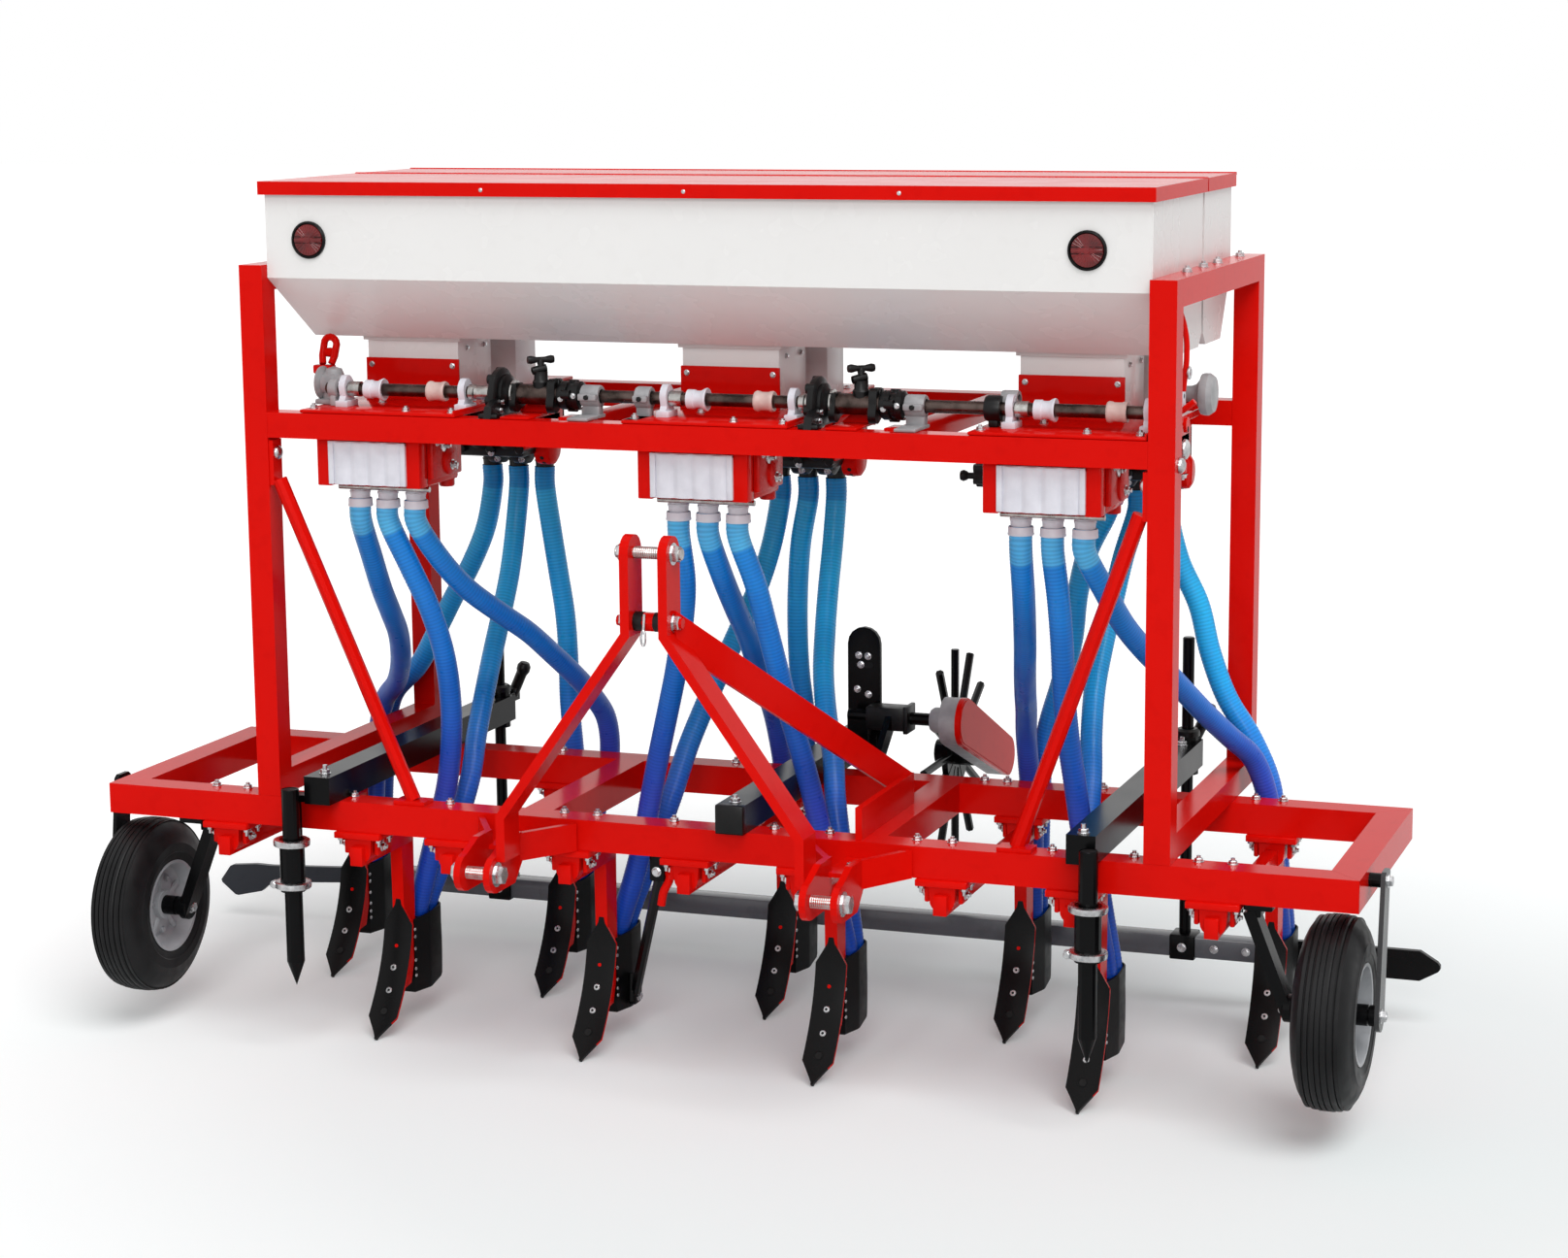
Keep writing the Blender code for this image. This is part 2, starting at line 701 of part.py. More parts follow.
def shovel(point_y):
    """A curved blade, pointed at both ends, on the front of the shank."""
    bottom, top = SHOVEL_DROP - FRAME_TOP, -SHOVEL_TOP
    build = bmesh.new()
    pairs = []
    for share in (0.0, 0.07, 0.14, 0.25, 0.36, 0.48, 0.60, 0.70, 0.80, 1.0):
        z = bottom + (top - bottom) * share
        y = point_y - 0.020 + 0.108 * (1 - (1 - share) ** 2.2)
        half = SHOVEL_HALF * min(1.0, max(0.08, share / 0.14), max(0.16, (1.0 - share) / 0.20))
        pairs.append([build.verts.new((side * half, y, z)) for side in (-1, 1)])
    for (a, b), (c, d) in zip(pairs, pairs[1:]):
        build.faces.new((a, b, d, c))
    mesh = bpy.data.meshes.new("shovel")
    build.to_mesh(mesh)
    build.free()
    thing = from_mesh("shovel", mesh)
    solidify = thing.modifiers.new("plate", "SOLIDIFY")
    solidify.thickness = SHOVEL_PLATE
    solidify.offset = -1.0
    return bake(thing)


def boot_top(point_y):
    """Where the two seed tubes enter a boot: the middle of its mouth."""
    return point_y + BOOT_MOUTH, BOOT_MOUTH_Z


def boot(point_y):
    """A sheet sleeve from the shank's sides round both tubes, with a slanted mouth and a round heel."""
    front, nose = point_y + 0.124, point_y + BOOT_MOUTH - HOSE_PAIR / 2
    tail = nose + HOSE_PAIR
    back = tail + BOOT_HALF
    outline = [(-0.013, front), (0.013, front)] + arc((0, nose), BOOT_HALF, -16, 0, 1)
    outline += arc((0, tail), BOOT_HALF, 0, 180, 8) + arc((0, nose), BOOT_HALF, 180, 196, 1)
    body = plate([outline], "Z", -0.402, -0.250)
    slope = [(front - 0.005, -0.2625), (back + 0.005, -0.2520), (back + 0.005, -0.2), (front - 0.005, -0.2)]
    heel = arc((back - 0.055, -0.347), 0.055, -90, 0, 5)
    heel += [(back + 0.005, -0.347), (back + 0.005, -0.410), (back - 0.055, -0.410)]
    inner = BOOT_HALF - BOOT_WALL
    room = arc((0, nose), inner, 180, 360, 8) + arc((0, tail), inner, 0, 180, 8)
    above = plate([slope], "X", -0.04, 0.04)
    below = plate([heel], "X", -0.04, 0.04)
    return cut(body, above, below, plate([room], "Z", -0.36, -0.2))


def tine(point_y):
    """Rib under both beams with its clamp pads, shank, shovel and boot."""
    rib = block((-RIB_HALF, -0.012, -RIB_BOTTOM), (RIB_HALF, point_y + 0.131, -RIB_TOP))
    pads = []
    beams = (0.0,) if point_y < FRAME_DEPTH / 2 else (0.0, FRAME_DEPTH - FRAME_TUBE)
    for beam in beams:
        pads.append(
            block(
                (-CLAMP_HALF, beam - 0.008, -FRAME_TUBE - 0.012),
                (CLAMP_HALF, beam + FRAME_TUBE + 0.002, -FRAME_TUBE - GAP),
            )
        )
        pads.append(
            block(
                (-0.026, beam + 0.002, -RIB_BOTTOM - 0.004),
                (0.026, beam + FRAME_TUBE - 0.002, -FRAME_TUBE - 0.008),
            )
        )
    outline = [
        (point_y + 0.092, -RIB_BOTTOM + 0.01),
        (point_y + 0.0895, -0.250),
        (point_y + 0.0795, -0.300),
        (point_y + 0.0635, -0.340),
        (point_y + 0.0445, -0.376),
        (point_y + 0.060, -0.386),
        (point_y + 0.110, -0.380),
        (point_y + 0.128, -0.330),
        (point_y + 0.132, -0.290),
        (point_y + 0.132, -RIB_BOTTOM + 0.01),
    ]
    shank = plate([outline[::-1]], "X", -SHANK_HALF, SHANK_HALF)
    return join(rib, *pads, shank, shovel(point_y), boot(point_y))


def stay(x):
    """A round bar from beside the middle clamp down to the boot of the tine at x, in that tine's own x."""
    top = (-0.072 - x, 0.030, -0.066)
    foot = (BOOT_HALF + 0.001, TINE_FRONT_POINT + 0.165, -0.380)
    elbow = (-0.072 - x, 0.030, -0.100)
    lug = block((top[0] - 0.012, 0.018, -0.100), (top[0] + 0.012, 0.042, -FRAME_TUBE - GAP))
    return [rod(elbow, foot, 0.009, 10), lug]


def tines():
    """Nine tines; those of a rank share one mesh, but for the one that has the stay."""
    made = {}
    for number, x, front in rows():
        if number == STAY_ROW:
            shape = join(tine(TINE_FRONT_POINT), *stay(x))
            node(shape, f"tine_{number}", "red_paint").location = (x, 0, 0)
            continue
        if front in made:
            copy_of(made[front], f"tine_{number}", (x, 0, 0))
            continue
        shape = tine(TINE_FRONT_POINT if front else TINE_REAR_POINT)
        made[front] = node(shape, f"tine_{number}", "red_paint")
        made[front].location = (x, 0, 0)


# Hitch


def lower_bracket(name, sign):
    """Two flared ears welded to the front beam, a web between them and the lower link pin."""
    outer_x = HITCH_HALF + EAR_GAP / 2 + EAR / 2
    inner_x = HITCH_HALF - EAR_GAP / 2 - EAR / 2
    eye = arc((PIN_Y, PIN_Z), 0.032, 90, 270, 8)
    eye += [(-0.125, -0.087), (-0.094, -0.056), (-0.094, -0.004), (-0.150, -0.004)]
    pieces = []
    for x, flare in ((outer_x, 0.058), (inner_x, -0.066)):
        low, high = sorted((sign * (x - EAR / 2), sign * (x + EAR / 2)))
        pieces.append(plate([eye], "X", low, high))
        path = [(sign * x, -0.120), (sign * x, -0.100), (sign * (x + flare), -0.0038)]
        pieces.append(plate([strip(path, EAR - 0.001)], "Z", -0.0545, -0.0055))
    web_x = sorted((sign * inner_x, sign * outer_x))
    web = block((web_x[0], -0.110, -0.036), (web_x[1], -0.0008, -0.028))
    pin_x = sorted((sign * (inner_x - 0.020), sign * (outer_x + 0.020)))
    pin = rod((pin_x[0], PIN_Y, PIN_Z), (pin_x[1], PIN_Y, PIN_Z), PIN_RADIUS, 12)
    node(join(*pieces, web, pin), name, "red_paint", (sign * HITCH_HALF, PIN_Y, PIN_Z))


def a_frame():
    """Mast plates with the top pin, the two legs down to the brackets and the back brace."""
    plate_x = MAST_HALF_GAP + MAST_PLATE / 2
    middle_y = (MAST_FRONT + MAST_BACK) / 2
    half_depth = (MAST_BACK - MAST_FRONT) / 2
    foot_x = HITCH_HALF - EAR_GAP / 2 - EAR - GAP - MAST_PLATE / 2
    outline = arc((middle_y, MAST_TOP_PIN), half_depth, 0, 180, 8)
    outline += [(MAST_FRONT, MAST_JOINT - 0.022), (MAST_BACK, MAST_JOINT - 0.022)]
    pieces = []
    for sign in (-1, 1):
        low, high = sorted((sign * MAST_HALF_GAP, sign * (MAST_HALF_GAP + MAST_PLATE)))
        pieces.append(plate([outline], "X", low, high))
        path = [(sign * plate_x, MAST_JOINT + 0.010), (sign * plate_x, MAST_JOINT - 0.020)]
        path += [(sign * foot_x, 0.045), (sign * foot_x, -0.032)]
        leg = plate([strip(path, MAST_PLATE)[::-1]], "Y", MAST_FRONT, MAST_BACK)
        pieces.append(leg)
    reach = MAST_HALF_GAP + MAST_PLATE + 0.016
    pieces.append(rod((-reach, middle_y, MAST_TOP_PIN), (reach, middle_y, MAST_TOP_PIN), 0.010, 12))
    pieces.append(rod((-reach, middle_y, MAST_JOINT), (reach, middle_y, MAST_JOINT), 0.009, 10))
    pieces.append(rod((-0.027, middle_y, MAST_JOINT), (0.027, middle_y, MAST_JOINT), 0.016, 10))
    pieces += back_brace(plate_x, middle_y)
    node(join(*pieces), "a_frame", "red_paint", (0, middle_y, 0))


def back_brace(plate_x, middle_y):
    """A flat bar on edge from the mast back to the right cross tube, then forward along the tube."""
    top = Vector((plate_x + MAST_PLATE / 2, middle_y))
    heel = Vector((HITCH_HALF - 0.01, 0.30))
    run = heel - top
    length = run.length
    half = BRACE_BAR_DEPTH / 2
    slope = atan2(MAST_JOINT - 0.012 - BRACE_BAR_DEPTH / 2, length)
    rise = half / cos(slope)
    outline = [
        (0.0, MAST_JOINT - 0.012 - rise),
        (length, GAP),
        (length, BRACE_BAR_DEPTH + GAP),
        (0.0, MAST_JOINT - 0.012 + rise),
    ]
    bar = plate([outline], "Y", -BRACE_BAR / 2, BRACE_BAR / 2)
    turn = Matrix.Rotation(atan2(run.y, run.x), 4, "Z")
    bar.data.transform(Matrix.Translation((top.x, top.y, 0)) @ turn)
    foot = block(
        (heel.x - BRACE_BAR / 2, FRAME_TUBE * 0.2, GAP),
        (heel.x + BRACE_BAR / 2, heel.y + 0.002, BRACE_BAR_DEPTH + GAP),
    )
    return [bar, foot]


# Gauge wheels


def wheel(name, sign):
    """Ribbed tyre on a dished rim with a bored hub."""
    w, r = WHEEL_WIDTH / 2, WHEEL_RADIUS
    bore = AXLE_RADIUS + AXLE_PLAY
    profile = [
        (bore, w + 0.004),
        (0.020, w + 0.004),
        (0.020, 0.018),
        (RIM_RADIUS - 0.010, 0.016),
        (RIM_RADIUS, w - 0.008),
        (RIM_RADIUS + 0.030, w),
        (r - 0.028, w - 0.004),
        (r - 0.009, w - 0.016),
        (r, 0.012),
        (r, -0.012),
        (r - 0.009, -w + 0.016),
        (r - 0.028, -w + 0.004),
        (RIM_RADIUS + 0.030, -w),
        (RIM_RADIUS, -w + 0.008),
        (RIM_RADIUS - 0.010, -0.016),
        (0.020, -0.018),
        (0.020, -w - 0.004),
        (bore, -w - 0.004),
    ]
    at = (sign * WHEEL_X, WHEEL_Y, WHEEL_Z)
    node(turned(profile, at, "X", 24, True), name, "rubber", at)


def fork(name, sign):
    """Outer plate down the end beam, axle, and the slanted inner arm under the front beam."""
    hub_half = WHEEL_WIDTH / 2 + 0.004 + 0.001
    outside = WHEEL_X + hub_half + FORK_REACH
    inside = WHEEL_X - hub_half - FORK_REACH
    plate_x = sorted((sign * outside, sign * (outside + FORK_PLATE)))
    outline = arc((WHEEL_Y + 0.006, WHEEL_Z - 0.002), 0.026, 180, 360, 6)
    outline += [(WHEEL_Y + 0.058, -0.002), (WHEEL_Y + 0.012, -0.002)]
    outer = plate([outline], "X", *plate_x)

    def across(from_x, to_x, y, z, radius, sides):
        return rod((sign * from_x, y, z), (sign * to_x, y, z), radius, sides)

    bolt_y, bolt_z = WHEEL_Y + 0.036, -0.020
    spacer = across(FRAME_LENGTH / 2 + GAP, outside + 0.001, bolt_y, bolt_z, 0.012, 10)
    bolt = across(outside + 0.003, outside + 0.017, bolt_y, bolt_z, 0.010, 6)
    nut = across(outside + 0.003, outside + 0.019, WHEEL_Y, WHEEL_Z, 0.011, 6)
    axle = across(inside - 0.010, outside + 0.002, WHEEL_Y, WHEEL_Z, AXLE_RADIUS, 12)
    collars = [
        across(WHEEL_X + hub_half, outside + 0.001, WHEEL_Y, WHEEL_Z, 0.0175, 14),
        across(inside - 0.001, WHEEL_X - hub_half, WHEEL_Y, WHEEL_Z, 0.0175, 14),
    ]
    arm_x = sorted((sign * inside, sign * (inside - 0.010)))
    arm_outline = strip([(WHEEL_Y - 0.02, WHEEL_Z), (WHEEL_Y + 0.02, WHEEL_Z)], 0.04)
    eye = plate([arm_outline[::-1]], "X", *arm_x)
    top_x = FRAME_LENGTH / 2 - 0.1865
    arm = plate(
        [strip([(sign * (inside - 0.005), WHEEL_Z - 0.012), (sign * top_x, -0.075)], 0.020)[::-1]],
        "Y",
        WHEEL_Y - 0.020,
        WHEEL_Y + 0.020,
    )
    pad = block(
        (min(sign * (top_x - 0.002), sign * (top_x + 0.045)), 0.004, -FRAME_TUBE - 0.010),
        (max(sign * (top_x - 0.002), sign * (top_x + 0.045)), WHEEL_Y + 0.020, -FRAME_TUBE - GAP),
    )
    post = block(
        (min(sign * (top_x - 0.003), sign * (top_x + 0.020)), WHEEL_Y - 0.019, -0.085),
        (max(sign * (top_x - 0.003), sign * (top_x + 0.020)), WHEEL_Y + 0.019, -FRAME_TUBE - 0.005),
    )
    whole = join(outer, spacer, bolt, nut, axle, *collars, eye, arm, pad, post)
    node(whole, name, "black_paint", (sign * WHEEL_X, WHEEL_Y, WHEEL_Z))


# Arms, stands and leveller


def stand_arm(name, sign):
    """Square arm on the frame with the stand's sleeve in front and the leveller rod's guide behind."""
    x = sign * ARM_X
    low, high = x - ARM_TUBE / 2, x + ARM_TUBE / 2
    arm = block((low, ARM_FRONT, GAP), (high, ARM_BACK - 0.02, ARM_TUBE + GAP))
    front_x = STAND_X[sign]
    bracket = block((front_x - 0.020, STAND_Y + 0.012, -0.150), (front_x - 0.006, -0.0095, 0.014))
    tab = block((min(x, front_x - 0.020), -0.034, 0.0015), (max(x, front_x - 0.006), -0.008, 0.014))
    sleeve = rod((front_x, STAND_Y, -0.155), (front_x, STAND_Y, -0.060), SLEEVE_OUTER, 16)
    guide = rod((x, ROD_Y, -0.012), (x, ROD_Y, ARM_TUBE + 0.012), 0.021, 12)
    lever = block((x - 0.010, ROD_Y + 0.008, 0.030), (x + 0.010, ROD_Y + 0.075, 0.048))
    bores = [
        rod((front_x, STAND_Y, -0.20), (front_x, STAND_Y, 0.1), STAND_RADIUS + STAND_PLAY, 16),
        rod((x, ROD_Y, -0.1), (x, ROD_Y, 0.1), ROD_RADIUS + STAND_PLAY, 12),
    ]
    whole = cut(join(arm, bracket, tab, sleeve, guide, lever), *bores)
    node(whole, name, "black_paint", (x, 0, 0))


def stand(name, sign):
    """Pointed parking stand that slides in its sleeve."""
    x = STAND_X[sign]
    profile = [(0, 0.030), (STAND_RADIUS, 0.030), (STAND_RADIUS, -0.285), (0, -0.330)]
    node(turned(profile, (x, STAND_Y, 0), "Z", 16), name, "black_paint", (x, STAND_Y, 0))


def leveller():
    """Cross bar behind the tines with a pointed blade at each end, hung on two rods."""
    half = LEVELLER_SIDE / 2
    shift = LEVELLER_SHIFT
    bar = block(
        (shift - LEVELLER_HALF, ROD_Y - half, LEVELLER_Z - half),
        (shift + LEVELLER_HALF, ROD_Y + half, LEVELLER_Z + half),
    )
    left, right = BLADE_LEFT, BLADE_RIGHT
    blades = [
        [(left + 0.384, -0.015), (left + 0.119, -0.035), (left + 0.094, -0.056), (left + 0.039, -0.069),
         (left, -0.040), (left + 0.022, -0.008), (left + 0.081, 0.0005), (left + 0.119, 0.0), (left + 0.384, 0.015)],
        [(right - 0.376, -0.014), (right - 0.316, -0.030), (right - 0.037, -0.030), (right, -0.008),
         (right, 0.002), (right - 0.037, 0.026), (right - 0.316, 0.026), (right - 0.376, 0.014)],
    ]
    pieces = [bar]
    for blade in blades:
        outline = [(a, LEVELLER_Z + b) for a, b in blade]
        pieces.append(plate([outline], "Y", ROD_Y - 0.006, ROD_Y + 0.006))
    for sign in (-1, 1):
        pieces.append(rod((sign * ARM_X, ROD_Y, LEVELLER_Z), (sign * ARM_X, ROD_Y, 0.245), ROD_RADIUS, 12))
    node(join(*pieces), "leveller_bar", "grey_paint", (0, ROD_Y, LEVELLER_Z))


# Drive wheel


def carrier():
    """Square tube on the frame with the latch plate and the bracket that holds the drive arm's pivot."""
    half = ARM_TUBE / 2
    tube = block((CARRIER_X - half, CARRIER_FRONT, GAP), (CARRIER_X + half, CARRIER_BACK, ARM_TUBE + GAP))
    latch_x, latch_y = 0.100, PIVOT_Y + 0.03
    outline = [(latch_x - 0.032, 0.02), (latch_x + 0.032, 0.02)] + arc((latch_x, 0.216), 0.032, 0, 180, 8)
    latch = plate([outline], "Y", latch_y, latch_y + 0.010)
    bridge = block((CARRIER_X, latch_y - 0.014, 0.010), (latch_x + 0.028, latch_y + 0.004, 0.045))
    stub = rod((latch_x - 0.02, PIVOT_Y, PIVOT_Z), (CASE_X - 0.032, PIVOT_Y, PIVOT_Z), PIVOT_RADIUS, 12)
    web = block((latch_x - 0.02, PIVOT_Y - 0.010, 0.030), (latch_x + 0.02, latch_y + 0.004, PIVOT_Z))
    stand_x = 0.165
    leg_outline = [
        (FRAME_DEPTH - 0.050, GAP),
        (FRAME_DEPTH - 0.004, GAP),
        (PIVOT_Y + 0.02, PIVOT_Z),
        (PIVOT_Y - 0.02, PIVOT_Z + 0.008),
    ]
    leg = plate([leg_outline], "X", stand_x - 0.006, stand_x + 0.006)
    whole = join(tube, latch, bridge, stub, web, leg)
    node(whole, "drive_carrier", "black_paint", (CARRIER_X, PIVOT_Y, PIVOT_Z))


def drive_arm(parent):
    """The chain case, which swings on the pivot and carries the drive wheel's axle."""
    run = Vector((HUB_Y - PIVOT_Y, HUB_Z - PIVOT_Z))
    angle = atan2(run.y, run.x) * 180 / pi
    outline = arc((HUB_Y, HUB_Z), 0.038, angle - 90, angle + 90, 8)
    outline += arc((PIVOT_Y, PIVOT_Z), 0.045, angle + 90, angle + 270, 8)
    case = plate([outline], "X", CASE_X - 0.022, CASE_X + 0.022)
    socket = rod((CASE_X - 0.047, PIVOT_Y, PIVOT_Z), (CASE_X - 0.010, PIVOT_Y, PIVOT_Z), 0.024, 12)
    seat_radius = PIVOT_RADIUS + AXLE_PLAY
    seat_end = (CASE_X - 0.030, PIVOT_Y, PIVOT_Z)
    seat = rod((CASE_X - 0.06, PIVOT_Y, PIVOT_Z), seat_end, seat_radius, 12)
    axle = rod((DRIVE_WHEEL_X - 0.040, HUB_Y, HUB_Z), (CASE_X, HUB_Y, HUB_Z), AXLE_RADIUS, 12)
    whole = join(cut(join(case, socket), seat), axle)
    node(whole, "drive_arm", "red_paint", (CASE_X, PIVOT_Y, PIVOT_Z), parent)


def drive_wheel(parent):
    """Bored hub with a disc and a ring of straight pegs."""
    centre = Vector((DRIVE_WHEEL_X, HUB_Y, HUB_Z))
    hub = rod(centre - Vector((0.036, 0, 0)), centre + Vector((0.042, 0, 0)), 0.024, 16)
    disc = rod(centre - Vector((0.006, 0, 0)), centre + Vector((0.006, 0, 0)), 0.070, 24)
    pegs = []
    for i in range(PEG_COUNT):
        angle = radians(90 + 360 * i / PEG_COUNT)
        out = Vector((0, cos(angle), sin(angle)))
        pegs.append(rod(centre + out * 0.030, centre + out * PEG_LENGTH, 0.008, 6))
    reach = Vector((0.1, 0, 0))
    bore = rod(centre - reach, centre + reach, AXLE_RADIUS + AXLE_PLAY, 12)
    whole = cut(join(hub, disc, *pegs), bore)
    node(whole, "drive_wheel", "black_paint", (DRIVE_WHEEL_X, HUB_Y, HUB_Z), parent)


# Seed tubes

# Routes between the outlet and the boot, as (x, y, z) chosen by eye, for the hose from the front
# unit and the one from the rear unit of each row
HOSE_ROUTES = {
    1: (
        [(-0.678, 0.194, 0.353), (-0.714, 0.327, 0.244), (-0.783, 0.462, 0.142),
         (-0.836, 0.525, 0.088), (-0.882, 0.562, 0.020)],
        [(-0.657, 0.600, 0.413), (-0.694, 0.602, 0.333), (-0.740, 0.603, 0.256),
         (-0.806, 0.604, 0.139), (-0.852, 0.604, 0.088), (-0.884, 0.604, 0.020)],
    ),
    2: (
        [(-0.582, 0.114, 0.417), (-0.547, 0.139, 0.312), (-0.537, 0.169, 0.208),
         (-0.545, 0.192, 0.103), (-0.563, 0.210, 0.002)],
        [(-0.587, 0.574, 0.386), (-0.583, 0.530, 0.308), (-0.581, 0.447, 0.181),
         (-0.576, 0.370, 0.065), (-0.574, 0.306, -0.051)],
    ),
    3: (
        [(-0.530, 0.138, 0.423), (-0.492, 0.199, 0.349), (-0.443, 0.276, 0.286),
         (-0.422, 0.335, 0.238), (-0.397, 0.419, 0.169), (-0.390, 0.524, 0.084), (-0.388, 0.562, -0.007)],
        [(-0.515, 0.601, 0.385), (-0.502, 0.603, 0.295), (-0.491, 0.603, 0.205), (-0.488, 0.604, 0.053)],
    ),
    4: (
        [(-0.053, 0.119, 0.390), (-0.085, 0.156, 0.253), (-0.109, 0.178, 0.178),
         (-0.150, 0.203, 0.037), (-0.185, 0.215, -0.111)],
        [(-0.068, 0.570, 0.370), (-0.101, 0.487, 0.242), (-0.126, 0.430, 0.155),
         (-0.148, 0.370, 0.065), (-0.164, 0.318, -0.025)],
    ),
    5: (
        [(0.010, 0.144, 0.411), (0.012, 0.196, 0.351), (0.004, 0.279, 0.284), (-0.010, 0.369, 0.210),
         (-0.032, 0.482, 0.132), (-0.041, 0.550, 0.056), (-0.034, 0.568, -0.040)],
        [(-0.010, 0.600, 0.410), (-0.019, 0.603, 0.283), (-0.015, 0.603, 0.155), (-0.006, 0.604, 0.060)],
    ),
    6: (
        [(0.082, 0.117, 0.402), (0.094, 0.135, 0.327), (0.112, 0.170, 0.204), (0.133, 0.192, 0.102),
         (0.151, 0.208, 0.012)],
        [(0.060, 0.580, 0.413), (0.068, 0.516, 0.286), (0.091, 0.435, 0.165), (0.128, 0.375, 0.070),
         (0.148, 0.330, -0.005)],
    ),
    7: (
        [(0.549, 0.148, 0.404), (0.523, 0.250, 0.308), (0.493, 0.358, 0.218), (0.460, 0.487, 0.128),
         (0.443, 0.552, 0.046), (0.450, 0.568, -0.060)],
        [(0.530, 0.601, 0.385), (0.519, 0.603, 0.282), (0.500, 0.603, 0.196), (0.470, 0.604, 0.093),
         (0.457, 0.604, 0.014)],
    ),
    8: (
        [(0.618, 0.114, 0.417), (0.620, 0.131, 0.339), (0.617, 0.169, 0.208), (0.627, 0.194, 0.088),
         (0.636, 0.210, -0.002)],
        [(0.613, 0.579, 0.412), (0.601, 0.536, 0.318), (0.595, 0.483, 0.236), (0.596, 0.430, 0.156),
         (0.611, 0.378, 0.077), (0.620, 0.325, -0.010)],
    ),
    9: (
        [(0.693, 0.137, 0.424), (0.719, 0.206, 0.343), (0.756, 0.301, 0.266), (0.807, 0.439, 0.157),
         (0.850, 0.524, 0.084), (0.882, 0.562, 0.015)],
        [(0.706, 0.600, 0.420), (0.743, 0.602, 0.343), (0.774, 0.603, 0.229), (0.812, 0.604, 0.140),
         (0.850, 0.604, 0.085), (0.880, 0.605, 0.020)],
    ),
}


def smooth_route(points, step):
    """Points about a step apart on a Catmull-Rom curve through the given points."""
    points = [Vector(p) for p in points]
    ends = [points[0] * 2 - points[1]] + points + [points[-1] * 2 - points[-2]]
    fine = []
    for i in range(1, len(ends) - 2):
        p0, p1, p2, p3 = ends[i - 1 : i + 3]
        for k in range(24):
            t = k / 24
            fine.append(
                0.5
                * (
                    2 * p1
                    + (p2 - p0) * t
                    + (2 * p0 - 5 * p1 + 4 * p2 - p3) * t * t
                    + (3 * p1 - p0 - 3 * p2 + p3) * t * t * t
                )
            )
    fine.append(points[-1])
    lengths = [0.0]
    for a, b in zip(fine, fine[1:]):
        lengths.append(lengths[-1] + (b - a).length)
    count = max(4, round(lengths[-1] / step))
    out = []
    index = 0
    for i in range(count + 1):
        target = lengths[-1] * i / count
        while index < len(fine) - 2 and lengths[index + 1] < target:
            index += 1
        span = lengths[index + 1] - lengths[index]
        share = (target - lengths[index]) / span if span else 0.0
        out.append(fine[index].lerp(fine[index + 1], min(1.0, share)))
    return out


def hose_line(start_at, via, end_at):
    """The hose's centre line: straight for a diameter at both ends, smooth between."""
    lead = Vector((0, 0, 2 * HOSE_RADIUS))
    start_at, end_at = Vector(start_at), Vector(end_at)
    between = smooth_route([start_at - lead, *via, end_at + lead], HOSE_STEP)
    return [start_at, *between, end_at]


def tube_along(points, radius):
    curve = bpy.data.curves.new("tube", "CURVE")
    curve.dimensions = "3D"
    curve.bevel_depth = radius
    curve.bevel_resolution = HOSE_SIDES_RESOLUTION
    curve.use_fill_caps = True
    spline = curve.splines.new("POLY")
    spline.points.add(len(points) - 1)
    for point, co in zip(spline.points, points):
        point.co = (*co, 1)
    return bake(from_mesh("tube", curve))


def hose_pair(number, x, front):
    """The two seed tubes of one boot, joined side by side at its mouth, each with its bore."""
    group = (number - 1) // 3
    step = (number - 1) % 3 - 1
    centre = group_centres()[group]
    mouth_y, mouth_z = boot_top(TINE_FRONT_POINT if front else TINE_REAR_POINT)
    top = SPOUT_BOTTOM - GAP
    starts = (
        (centre + step * SPOUT_PITCH, FRONT_SPOUT_Y, top),
        (centre + GROUP_SHIFT_REAR + REAR_SPOUT_SHIFTS[group] + step * SPOUT_PITCH, REAR_SPOUT_Y, top),
    )
    outers, bores = [], []
    for start_at, via, side in zip(starts, HOSE_ROUTES[number], (-1, 1)):
        end_at = (x, mouth_y + side * HOSE_PAIR / 2, mouth_z - 0.030)
        line = hose_line(start_at, via, end_at)
        outers.append(tube_along(line, HOSE_RADIUS))
        lead = Vector((0, 0, 0.01))
        inside = [line[0] + lead, *line[1:-1], line[-1] - lead]
        bores.append(tube_along(inside, HOSE_RADIUS - HOSE_WALL))
    node(cut(join(*outers), *bores), f"seed_tubes_{number}", "blue_hose")


def seed_tubes():
    for number, x, front in rows():
        hose_pair(number, x, front)


def build():
    start()
    main_frame()
    hopper_frame()
    tanks()
    metering()
    tines()
    lower_bracket("lower_bracket_left", -1)
    lower_bracket("lower_bracket_right", 1)
    a_frame()
    for side, sign in (("left", -1), ("right", 1)):
        wheel(f"gauge_wheel_{side}", sign)
        fork(f"wheel_fork_{side}", sign)
        stand_arm(f"stand_arm_{side}", sign)
        stand(f"parking_stand_{side}", sign)
    leveller()
    carrier()
    pivot = empty("drive_pivot", (CASE_X, PIVOT_Y, PIVOT_Z), machine)
    drive_arm(pivot)
    drive_wheel(pivot)
    seed_tubes()


build()
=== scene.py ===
"""Looks of the nine-row seed planter: camera, seed tubes, metering gear, fasteners, finishes and light.

Shapes are in millimetres and in the machine's own coordinates, as in the part: x to the right, y to the
rear from the front face of the front beam, z up from the top face of the main frame. PLACE carries them
to the shared frame, in metres.
"""

from math import atan2, cos, pi, radians, sin

import bmesh
import bpy
from mathutils import Matrix, Vector


